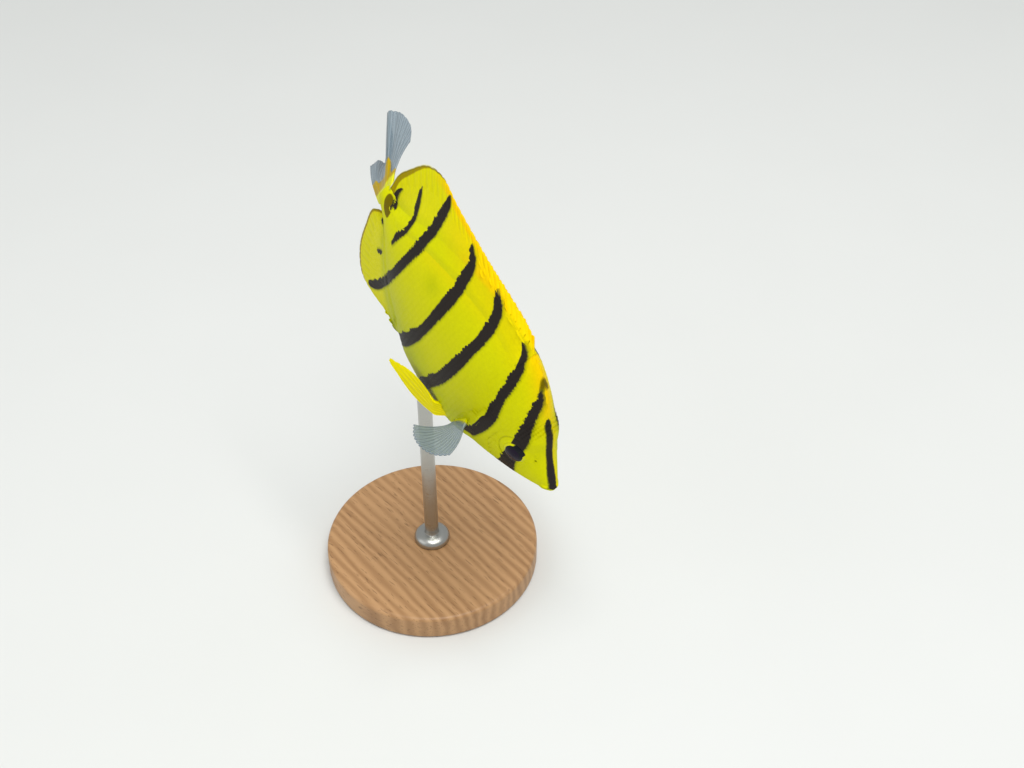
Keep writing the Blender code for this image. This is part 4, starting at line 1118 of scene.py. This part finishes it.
class FISH_OT_scales(bpy.types.Operator):
    """Sets overlapping scales in rows over head and body, one coat for each side"""
    bl_idname = "butterflyfish.scales"
    bl_label = "Scales"

    def execute(self, context):
        sizes = context.scene.fish_sizes
        material = material_once("lacquered_fish_scale", fish_scale_material, context.scene.fish_colours)
        for side, name in ((-1, "scales_right"), (1, "scales_left")):
            points, angle, step_x, step_up = body_lattice(sizes, side)
            base = world(points)
            ahead = world(section(points[:, 0] + 0.002, angle))
            above = world(section(points[:, 0], angle + 0.01))
            along = unit(ahead - base)
            normal = unit(np.cross(along, above - base))
            middle = world(points * np.array([1.0, 0.0, 1.0]))
            normal *= np.sign(((base - middle) * normal).sum(axis=1, keepdims=True))
            height, _ = face_relief(points, base, normal, angle)
            roots = base + normal * (height - sizes.coat_depth - 0.00002)[:, None]
            size = np.stack([1.72 * step_x, 1.30 * step_up], axis=1) * STANDARD_LENGTH
            length = size / STANDARD_LENGTH
            grow = section(points[:, 0], angle + 0.01) - points
            grow = grow / np.linalg.norm(grow, axis=1, keepdims=True) * length[:, 1:]
            ahead = section(points[:, 0] + 0.002, angle) - points
            ahead = ahead / np.linalg.norm(ahead, axis=1, keepdims=True) * length[:, :1]
            # Across a scale is the direction that the normal and its length leave
            grow *= np.sign((np.cross(normal, along) * (above - base)).sum(axis=1, keepdims=True))
            uv = np.stack([0.02 + 0.96 * points[:, 0], 0.5 + points[:, 2] * 1.3], axis=1)
            coat = set_scales(name, roots, along, normal, size, (points, ahead, grow), body_marks, uv, sizes,
                              material)
            finish_piece(coat, "fish_skin")
        return {"FINISHED"}


# Fins
def ray_profile(u, t, rays, spines, branch):
    """Height of the rays over a fin's grid, from 0 on the membrane to 1 on a ray's top."""
    place = u * (rays - 1)
    near = np.round(place)
    off = (place - near)[:, None]
    hard = (near < spines)[:, None]
    split = branch * ramp(t, 0.45, 1.0)[None] * 0.24
    soft = np.maximum(bump(off - split, 0.13), bump(off + split, 0.13))
    return np.where(hard, bump(off, 0.17), soft) * (1 - 0.45 * t[None])


def ray_dip(u, rays):
    """How far a fin's edge draws in: 0 at a ray, 1 half way to the next."""
    return 1.0 - np.abs(np.cos(u * (rays - 1) * math.pi)) ** 0.7


def foot_share(t, foot):
    """How far a ray is still its fin's thick foot, from 1 at the root to 0 where the foot ends."""
    return np.clip(1.0 - t / foot[0], 0.0, 1.0) ** 1.5


def fin_thickness(sizes, ridge, sheath, foot):
    """Thickness in metres, from the membrane and its rays to the foot."""
    return (sizes.membrane + (sizes.ray - sizes.membrane) * ridge) * (1 - sheath) + foot[1] * sheath


def fin_sheet(name, middle, ridge, thickness, material, fields):
    """A closed fin about a grid of middle points, rays by rows."""
    along = np.gradient(middle, axis=0)
    across = np.gradient(middle, axis=1)
    normal = unit(np.cross(along, across))
    shift = normal * (thickness[..., None] / 2)
    rows, columns = middle.shape[:2]
    verts = np.concatenate([(middle + shift).reshape(-1, 3), (middle - shift).reshape(-1, 3)])
    behind = rows * columns
    faces = grid_faces(rows, columns, False)
    faces += [f[::-1] for f in grid_faces(rows, columns, False, behind)]
    border = [i * columns for i in range(rows)]
    border += [(rows - 1) * columns + j for j in range(1, columns)]
    border += [i * columns + columns - 1 for i in range(rows - 2, -1, -1)]
    border += [j for j in range(columns - 2, 0, -1)]
    for a, b in zip(border, border[1:] + border[:1]):
        faces.append((a, b, b + behind, a + behind))
    mesh = new_mesh(name, verts, faces)
    outwards(mesh)
    fields = dict(fields, ridge=ridge)
    write_fields(mesh, {key: np.tile(np.broadcast_to(value, (rows, columns)).ravel(), 2)
                        for key, value in fields.items()})
    return new_object(name, mesh, material)


def fin_middle(shape, u, t, depth):
    """Body coordinates of a median fin's middle: u along its base, t up its rays, depth down into the body."""
    base, edge, rays, spines, crest, fold = shape
    x0 = base[0] + (base[1] - base[0]) * u
    x1 = smooth(edge, u, 1)
    z1 = smooth(edge, u, 2)
    scallop = np.where(u * (rays - 1) < spines, SPINE_SCALLOP, RAY_SCALLOP)
    z1 = z1 - np.sign(z1) * scallop * ray_dip(u, rays)
    bow = FIN_BOW * np.sin(math.pi * t)
    x = x0 + (x1 - x0) * (t - bow)
    z = crest(x0) + (z1 - crest(x0)) * t - np.sign(z1) * depth
    y = FIN_LEAN * t ** 1.4 * (1.0 - fold * u ** 8)
    return np.stack(np.broadcast_arrays(x, y, z), axis=-1)


def fin_height(shape, u):
    """Length of a fin's rays in millimetres."""
    base, edge, _, _, crest, _ = shape
    x0 = base[0] + (base[1] - base[0]) * u
    return millimetres(np.hypot(smooth(edge, u, 1) - x0, smooth(edge, u, 2) - crest(x0)))


def fin_half(shape, points, u, depth, plain):
    """Half thickness of a fin in metres: it swells at its foot until it flows into the flanks."""
    base, crest = shape[0], shape[4]
    x, z = points[..., 0], points[..., 2]
    above = np.abs(z) - np.abs(crest(base[0] + (base[1] - base[0]) * u))
    flank = millimetres(np.where(depth > 0, width_at(x, z), -FLANK_SLOPE * above))
    blend = 0.2 + 1.1 * ramp(u, 0.0, 0.10) * (1.0 - 0.75 * ramp(u, 0.85, 1.0))
    plain = plain * 1000
    swollen = plain + blend * np.log1p(np.exp((flank - plain) / blend))
    sunk = SKIRT_SINK * ramp(depth / skirt_depth(shape, u), 0.45, 1.0)
    return (swollen - sunk) / 1000


def skirt_depth(shape, u):
    """How deep a fin's foot reaches into the body."""
    x0 = shape[0][0] + (shape[0][1] - shape[0][0]) * u
    return np.minimum(SKIRT_DEPTH, 0.35 * (back(x0) - belly(x0)))


def fin_marks(points, u, t, shape, dorsal):
    """Marking fields of a dorsal or anal fin."""
    front, rear = bars_at(points)
    to_edge = (1.0 - t) * fin_height(shape, u)
    if dorsal:
        width = 1.45 * ramp(u, 0.66, 0.97) + 0.25 * ramp(u, 0.62, 0.70) - 0.1
        gold = ramp(-to_edge, -3.4, -1.2) * (1 - ramp(u, 0.62, 0.78))
    else:
        width = 1.15 * ramp(u, 0.26, 0.50) - 0.1
        gold = 0.25 * ramp(-to_edge, -2.0, -0.8)
    # Painted highlight: a pale line along the very edge of the margin.
    pale = ramp(-to_edge, -0.22, -0.08) * ramp(width, 0.3, 0.7)
    marks = ground_marks(points[..., 0], points[..., 2])
    marks["gold"] = np.maximum(marks["gold"], gold)
    return dict(marks, front=front, rear=rear, olive=np.full_like(front, -9.0), pale=pale, along=to_edge,
                margin=np.where(width > 0.0, width - to_edge, -9.0))


def median_fin(name, shape, dorsal, sizes, material):
    rays, spines = shape[2], shape[3]
    u = np.linspace(0.0, 1.0, 12 * (rays - 1) + 1)
    deep = np.linspace(1.0, 0.0, 12, endpoint=False)
    t = np.concatenate([np.zeros(len(deep)), np.linspace(0.0, 1.0, 44)])
    depth = skirt_depth(shape, u)[:, None] * np.concatenate([deep, np.zeros(44)])[None]
    place, rise = np.broadcast_arrays(u[:, None], t[None])
    points = fin_middle(shape, place, rise, depth)
    ridge = ray_profile(u, t, rays, spines, 1.0)
    sheath = foot_share(t, MEDIAN_FOOT)[None]
    ridge = ridge * (1 - sheath)
    plain = fin_thickness(sizes, ridge, sheath, MEDIAN_FOOT) / 2
    plain = plain * (1 - 0.5 * ramp(t, 0.90, 1.0)[None])
    half = fin_half(shape, points, place, depth, plain)
    return fin_sheet(name, world(points), ridge, 2 * half, material, fin_marks(points, place, rise, shape, dorsal))


def sheath_surface(shape, u, height, side):
    """World points of a fin's scaly foot, at heights in millimetres over the body's edge."""
    t = np.clip(height / fin_height(shape, u), 0.0, None)
    depth = np.clip(-height / 1000 / STANDARD_LENGTH, 0.0, None)
    points = fin_middle(shape, u, t, depth)
    sheath = foot_share(t, MEDIAN_FOOT)
    plain = SHEATH_FILM * (1 - sheath) + MEDIAN_FOOT[1] / 2 * sheath
    half = fin_half(shape, points, u, depth, plain)
    base = world(points)
    left = unit(world(points + np.array([0.0, 0.01, 0.0])) - base)
    return points, base + side * left * half[..., None]


def sheath_lattice(shape):
    """Places and heights of the small scales over a fin's foot, in staggered rows."""
    length = millimetres(shape[0][1] - shape[0][0])
    rows = []
    height = -6.6
    while height < 11.0:
        grow = 1.0 - 0.5 * max(height, 0.0) / 11.0
        count = int(length / (1.25 * grow))
        u = (np.arange(count) + (0.25 if len(rows) % 2 else 0.75)) / count
        tall = fin_height(shape, u)
        low = millimetres(-skirt_depth(shape, u)) * 0.92
        u = u[(height < 0.60 * tall * ramp(u, 0.0, 0.12)) & (height > low) & (u < 0.985) & (u > 0.02)]
        rows.append(np.stack([u, np.full(len(u), height), np.full(len(u), grow)], axis=1))
        height += 0.85 * grow
    return np.concatenate(rows)


def sheath_marks(points, whole=None):
    """Marking fields of the scales on a median fin."""
    x, z = points[..., 0], points[..., 2]
    front, rear = bars_at(points, whole)
    return dict(ground_marks(x, z), front=front, rear=rear, olive=np.full_like(x, -9.0))


class FISH_OT_median_fins(bpy.types.Operator):
    """Makes the dorsal and anal fins with spines, branched rays and scaly roots"""
    bl_idname = "butterflyfish.median_fins"
    bl_label = "Dorsal and anal fins"

    def execute(self, context):
        sizes = context.scene.fish_sizes
        colours = context.scene.fish_colours
        membrane = material_once("pigmented_fin_membrane", fin_material, colours)
        scale = material_once("lacquered_fish_scale", fish_scale_material, colours)
        shapes = {
            "dorsal": (DORSAL_BASE, DORSAL_EDGE, DORSAL_RAYS, DORSAL_SPINES, back, DORSAL_FOLD),
            "anal": (ANAL_BASE, ANAL_EDGE, ANAL_RAYS, ANAL_SPINES, belly, ANAL_FOLD),
        }
        for name, shape in shapes.items():
            fin = median_fin(name + "_fin_rays", shape, name == "dorsal", sizes, membrane)
            finish_piece(fin, "fin_yellow", name + "_fin")
            u, height, grow = sheath_lattice(shape).T
            parts = []
            for side in (-1, 1):
                points, base = sheath_surface(shape, u, height, side)
                ahead, beside = sheath_surface(shape, u + 0.01, height, side)
                raised, over = sheath_surface(shape, u, height + 0.2, side)
                back_way = unit(beside - base)
                up_way = unit(over - base)
                normal = unit(np.cross(back_way, up_way))
                left = world(points + np.array([0.0, 0.01, 0.0])) - base
                normal *= np.sign((normal * left).sum(axis=1, keepdims=True)) * side
                lean = 0.8 * ramp(height, -2.0, 5.0)[:, None]
                along = unit(back_way + lean * up_way)
                size = np.stack([0.00215 * grow, 0.00125 * grow], axis=1)
                # A scale's own directions in body coordinates, from the same mix of the two ways
                back_step = unit(ahead - points)
                up_step = unit(raised - points)
                length = size / STANDARD_LENGTH
                forth = unit(back_step + lean * up_step) * length[:, :1]
                turn = np.sign((np.cross(normal, along) * up_way).sum(axis=1, keepdims=True))
                upright = unit(np.stack([-forth[:, 2], 0.0 * u, forth[:, 0]], axis=1))
                upright *= np.sign((upright * up_step).sum(axis=1, keepdims=True))
                across = upright * length[:, 1:] * turn
                uv = np.stack([0.02 + 0.96 * u, 0.5 + 0.03 * height * side], axis=1)
                parts.append((base - normal * 0.00003, along, normal, size, points, forth, across, uv))
            joined = [np.concatenate(columns) for columns in zip(*parts)]
            coat = set_scales(name + "_fin_scales", *joined[:4], joined[4:7], sheath_marks, joined[7], sizes, scale)
            finish_piece(coat, "fin_yellow")
        return {"FINISHED"}


def caudal_grid(u, rows):
    """World points of the tail fin: each ray leaves the tail stem and curls to the fish's left."""
    root = np.stack([np.full(len(u), 0.994), np.zeros(len(u)),
                     belly(1.0) + (back(1.0) - belly(1.0)) * (0.04 + 0.92 * u)], axis=-1)
    spread = np.radians(smooth(CAUDAL_SPREAD, u))
    swing_root = math.atan(2 * BEND_SIDE / (1.0 - BEND_START))
    swing_tip = np.radians(smooth(CAUDAL_SWING, u))
    dip = 1.0 - CAUDAL_SCALLOP * ray_dip(u, CAUDAL_RAYS)
    length = smooth(CAUDAL_LENGTH, u) * STANDARD_LENGTH * dip
    path = [fish_metres(root)]
    for k in range(rows - 1):
        part = (k + 0.5) / (rows - 1)
        swing = swing_root + (swing_tip - swing_root) * part ** smooth(CAUDAL_TURN, u)
        direction = np.stack([-np.cos(spread) * np.cos(swing), np.cos(spread) * np.sin(swing), np.sin(spread)],
                             axis=-1)
        path.append(path[-1] + direction * (length / (rows - 1))[:, None])
    return stand_up(np.swapaxes(np.array(path), 0, 1)), length


class FISH_OT_tail_fin(bpy.types.Operator):
    """Makes the tail fin: yellow root, ochre band, and clear membrane between branched rays"""
    bl_idname = "butterflyfish.tail_fin"
    bl_label = "Tail fin"

    def execute(self, context):
        sizes = context.scene.fish_sizes
        material = material_once("glassy_fin_membrane", glassy_fin_material, context.scene.fish_colours)
        u = np.linspace(0.0, 1.0, 14 * (CAUDAL_RAYS - 1) + 1)
        middle, length = caudal_grid(u, 60)
        t = np.linspace(0.0, 1.0, 60)
        ridge = ray_profile(u, t, CAUDAL_RAYS, 0, 1.0)
        thickness = fin_thickness(sizes, ridge, foot_share(t, CAUDAL_FOOT)[None], CAUDAL_FOOT)
        away = length[:, None] * 1000 * t[None]
        limits = np.array(TAIL_LIMITS)
        yellow, ochre = [np.interp(u, limits[:, 0], limits[:, k])[:, None] - away for k in (1, 2)]
        fields = {"yolk": yellow, "tan": ochre, "along": away}
        fin = fin_sheet("caudal_fin_rays", middle, ridge, thickness, material, fields)
        finish_piece(fin, "fin_clear", "caudal_fin")
        return {"FINISHED"}


def between(ends, u):
    return ends[0] + (ends[1] - ends[0]) * u


def paired_grid(side, rays, base, length, out, up, curve, bow, lift, u, t):
    """World points of a pectoral or pelvic fin."""
    start = []
    for part in u:
        x = between((base[0][0], base[1][0]), part)
        z = between((base[0][1], base[1][1]), part)
        centre, normal = face_frame(x, z, side)[:2]
        start.append(centre + normal * lift * (1 - ROOT_DIVE * ramp(-t, -0.16, 0.04))[:, None])
    aside = np.radians(between(out, u)[:, None] - curve * t[None])
    rise = np.radians(between(up, u)[:, None] + bow * (2 * u - 1)[:, None] * (1 - t)[None])
    direction = np.stack(np.broadcast_arrays(-np.cos(rise) * np.cos(aside), side * np.cos(rise) * np.sin(aside),
                                             np.sin(rise)), axis=-1)
    dip = 1.0 - PAIRED_SCALLOP * ray_dip(u, rays)
    reach = smooth(length, u) * STANDARD_LENGTH * dip
    swept = stand_up(direction * (reach[:, None] * t[None])[..., None]) - stand_up(np.zeros(3))
    return np.array(start) + swept, reach


class FISH_OT_paired_fins(bpy.types.Operator):
    """Makes the clear pectoral fins and the yellow pelvic fins, with a fleshy root each"""
    bl_idname = "butterflyfish.paired_fins"
    bl_label = "Pectoral and pelvic fins"

    def execute(self, context):
        sizes = context.scene.fish_sizes
        colours = context.scene.fish_colours
        clear = material_once("glassy_fin_membrane", glassy_fin_material, colours)
        yellow = material_once("pigmented_fin_membrane", fin_material, colours)
        for side, way in ((-1, "right"), (1, "left")):
            u = np.linspace(0.0, 1.0, 12 * (PECTORAL_RAYS - 1) + 1)
            t = np.linspace(-0.05, 1.0, 40)
            middle, reach = paired_grid(side, PECTORAL_RAYS, PECTORAL_BASE, PECTORAL_LENGTH, PECTORAL_OUT[way],
                                        PECTORAL_UP[way], PECTORAL_CURVE, 0.0, PECTORAL_LIFT, u, t)
            self.make("pectoral_fin_rays_" + way, middle, reach, u, t, PECTORAL_RAYS, 0, sizes, clear,
                      {"yellow": PECTORAL_YELLOW, "bright": 0.0}, "fin_clear", "pectoral_fin_" + way)
            u = np.linspace(0.0, 1.0, 16 * (PELVIC_RAYS - 1) + 1)
            middle, reach = paired_grid(side, PELVIC_RAYS, PELVIC_BASE, PELVIC_LENGTH, PELVIC_OUT, PELVIC_UP,
                                        PELVIC_CURVE, PELVIC_BOW, PELVIC_LIFT, u, t)
            self.make("pelvic_fin_rays_" + way, middle, reach, u, t, PELVIC_RAYS, 1, sizes, yellow,
                      {"yellow": 0.0, "bright": 1.0}, "fin_yellow", "pelvic_fin_" + way)
        return {"FINISHED"}

    def make(self, name, middle, reach, u, t, rays, spines, sizes, material, settings, slot, node):
        ridge = ray_profile(u, t, rays, spines, 1.0)
        thickness = fin_thickness(sizes, ridge, foot_share(t, PAIRED_FOOT)[None], PAIRED_FOOT)
        away = reach[:, None] * 1000 * t[None]
        fields = dict.fromkeys(("front", "rear", "olive", "margin"), -9.0)
        fields.update(dict.fromkeys(("gold", "green", "pale"), 0.0), bright=settings["bright"], along=away)
        fields.update(dict.fromkeys(("yolk", "tan"), settings["yellow"] - away))
        finish_piece(fin_sheet(name, middle, ridge, thickness, material, fields), slot, node)


class FISH_OT_eyes(bpy.types.Operator):
    """Makes both eyes: ball, dark pupil and iris, yellow ring, and under each a pale line of painted highlight"""
    bl_idname = "butterflyfish.eyes"
    bl_label = "Eyes"

    def execute(self, context):
        material = material_once("wet_cornea", eye_material, context.scene.fish_colours)
        for side, name in ((-1, "eye_right"), (1, "eye_left")):
            centre, normal, forward, up = face_frame(*EYE_PLACE, side)
            centre = centre - normal * EYE_SINK * STANDARD_LENGTH
            polar = np.linspace(0.0, math.pi, 49)[1:-1, None]
            turn = np.arange(72)[None] * ROUND / 72
            flat = EYE_BALL[0] * STANDARD_LENGTH * np.sin(polar)
            # The cornea rises a little over the pupil
            tall = np.cos(polar) * (EYE_BALL[1] + 0.0012 * bump(np.sin(polar), 0.45)) * STANDARD_LENGTH
            ball = (centre + (flat * np.cos(turn))[..., None] * forward + (flat * np.sin(turn))[..., None] * up
                    + (tall + 0 * turn)[..., None] * normal)
            poles = centre + np.array([[1.0], [-1.0]]) * normal * (EYE_BALL[1] + 0.0010) * STANDARD_LENGTH
            verts = np.concatenate([ball.reshape(-1, 3), poles])
            mesh = new_mesh(name + "_ball", verts, capped_faces(*ball.shape[:2]))
            outwards(mesh)
            away = verts - centre
            ahead, above, out = away @ forward, away @ up, away @ normal
            radius = np.hypot(ahead, above) * 1000
            # The dark bar crosses the eye from top rear to bottom front
            lean = ahead * 1000 - 0.16 * above * 1000
            bar = ramp(-np.abs(lean), -1.95, -1.75)
            # Painted highlight: a pale arc under the eye, on the orbit's lower rim.
            low = bump(np.hypot(ahead, above) * 1000 - 2.6, 0.26) * ramp(-above * 1000, 1.0, 1.8)
            write_fields(mesh, {"radius": np.where(out > 0, radius, 9.0), "bar": bar, "eye_rim_highlight": low})
            eye = new_object(name + "_ball", mesh, material)
            finish_piece(eye, "eye", name)
        return {"FINISHED"}


def turned(name, profile, sides, material):
    """A closed turned piece about the world's Z axis, from a profile of radius and height."""
    angle = np.arange(sides)[None] * ROUND / sides
    r = np.array([p[0] for p in profile])[:, None]
    z = np.array([p[1] for p in profile])[:, None]
    ring = np.stack(np.broadcast_arrays(r * np.cos(angle), r * np.sin(angle), z), axis=-1)
    verts = np.concatenate([ring.reshape(-1, 3), [[0, 0, profile[0][1]]], [[0, 0, profile[-1][1]]]])
    mesh = new_mesh(name, verts, capped_faces(len(profile), sides))
    outwards(mesh)
    obj = new_object(name, mesh, material)
    mesh.set_sharp_from_angle(angle=math.radians(50.0))
    return obj


class FISH_OT_stand(bpy.types.Operator):
    """Turns the wooden base and the steel rod with its foot"""
    bl_idname = "butterflyfish.stand"
    bl_label = "Display stand"

    def execute(self, context):
        stand = context.scene.stand_sizes
        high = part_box("stand_base")[1]
        radius, top, bevel = high.x, high.z, stand.base_bevel
        corner = [(math.sin(a), math.cos(a)) for a in np.linspace(0.0, math.pi / 2, 7)]
        profile = [(radius * s, 0.0) for s in (0.35, 0.70)]
        profile += [(radius - bevel + bevel * s, bevel - bevel * c) for s, c in corner]
        profile += [(radius - bevel + bevel * c, top - bevel + bevel * s) for s, c in corner]
        profile += [(radius * s, top) for s in (0.70, 0.35)]
        base = turned("turned_base", profile, 160, material_once("oiled_beech", beech_material, stand))
        finish_piece(base, "base_wood", "stand_base")
        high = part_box("stand_rod")[1]
        foot = high.x
        rod = foot * stand.rod_share
        rise = foot * stand.foot_rise
        steel = material_once("brushed_steel", steel_material, stand)
        profile = [(foot * 0.6, top), (foot - 0.0003, top), (foot, top + 0.0003)]
        profile += [(foot, top + rise * 0.45)]
        profile += [(rod * 1.1 + (foot - rod * 1.1) * (1 - s), top + rise * (0.45 + 0.85 * (1 - (1 - s) ** 2) ** 0.5))
                    for s in np.linspace(0.06, 1.0, 9)]
        profile += [(rod, top + rise * s) for s in (1.45, 1.9)]
        profile += [(rod, top + (high.z - top) * s) for s in (0.25, 0.5, 0.75, 0.97)]
        profile += [(rod * 0.75, high.z + 0.0001), (rod * 0.4, high.z + 0.0003)]
        piece = turned("steel_rod", profile, 64, steel)
        finish_piece(piece, "rod_steel", "stand_rod")
        return {"FINISHED"}


class FISH_OT_studio(bpy.types.Operator):
    """Sets the pale floor, the soft lights and the camera at the photo's angle"""
    bl_idname = "butterflyfish.studio"
    bl_label = "Studio"

    def execute(self, context):
        studio = context.scene.studio_settings
        scene = context.scene
        half = studio.floor_size / 2
        corners = [(-half, -half, 0.0), (half, -half, 0.0), (half, half, 0.0), (-half, half, 0.0)]
        floor = new_object("floor", new_mesh("floor", corners, [(0, 1, 2, 3)]),
                           material_once("matt_board", floor_material, studio))
        self.light("key_light", studio.key, *KEY_LIGHT)
        self.light("fill_light", studio.fill, *FILL_LIGHT)
        world_light = bpy.data.worlds.new("studio_world")
        world_light.use_nodes = True
        sky = world_light.node_tree.nodes["Background"]
        sky.inputs["Color"].default_value = (*studio.sky_colour, 1.0)
        sky.inputs["Strength"].default_value = studio.sky
        scene.world = world_light
        scene.view_settings.view_transform = "Standard"
        camera = bpy.data.objects.new("camera", bpy.data.cameras.new("camera"))
        scene.collection.objects.link(camera)
        az, el = math.radians(SIGHT_AZIMUTH), math.radians(SIGHT_ELEVATION)
        sight = Vector((math.sin(az) * math.cos(el), -math.cos(az) * math.cos(el), math.sin(el)))
        camera.location = Vector(CAMERA_TARGET) + sight * CAMERA_DISTANCE
        camera.rotation_euler = (math.radians(90.0 - AXIS_ELEVATION), 0.0, math.radians(AXIS_AZIMUTH))
        camera.data.lens = LENS
        camera.data.sensor_width = SENSOR_MM
        camera.data.clip_start = 0.01
        scene.camera = camera
        return {"FINISHED"}

    def light(self, name, power, place, size):
        lamp = bpy.data.lights.new(name, "AREA")
        lamp.energy = power
        lamp.size = size
        obj = bpy.data.objects.new(name, lamp)
        bpy.context.scene.collection.objects.link(obj)
        obj.location = place
        aim = Vector(LIGHT_TARGET) - Vector(place)
        obj.rotation_euler = aim.to_track_quat("-Z", "Y").to_euler()


class FISH_PT_panel(bpy.types.Panel):
    """Lists the steps that dress the model"""
    bl_idname = "FISH_PT_panel"
    bl_label = "Butterflyfish"
    bl_space_type = "VIEW_3D"
    bl_region_type = "UI"
    bl_category = "Butterflyfish"

    def draw(self, context):
        for operator in OPERATORS:
            self.layout.operator(operator.bl_idname)
        for group in ("fish_sizes", "fish_colours", "stand_sizes", "studio_settings"):
            box = self.layout.box()
            settings = getattr(context.scene, group)
            for name in settings.bl_rna.properties.keys()[1:]:
                if name != "name":
                    box.prop(settings, name)


GROUPS = {"fish_sizes": FishSizes, "fish_colours": FishColours, "stand_sizes": StandSizes,
          "studio_settings": StudioSettings}
OPERATORS = (FISH_OT_skin, FISH_OT_scales, FISH_OT_median_fins, FISH_OT_tail_fin, FISH_OT_paired_fins,
             FISH_OT_eyes, FISH_OT_stand, FISH_OT_studio)


def register():
    for cls in (*GROUPS.values(), *OPERATORS, FISH_PT_panel):
        bpy.utils.register_class(cls)
    for name, group in GROUPS.items():
        setattr(bpy.types.Scene, name, bpy.props.PointerProperty(type=group))


def unregister():
    for name in GROUPS:
        delattr(bpy.types.Scene, name)
    for cls in reversed((*GROUPS.values(), *OPERATORS, FISH_PT_panel)):
        bpy.utils.unregister_class(cls)


def main():
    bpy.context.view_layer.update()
    register()
    for operator in OPERATORS:
        space, name = operator.bl_idname.split(".")
        getattr(getattr(bpy.ops, space), name)()


if __name__ == "__main__":
    main()
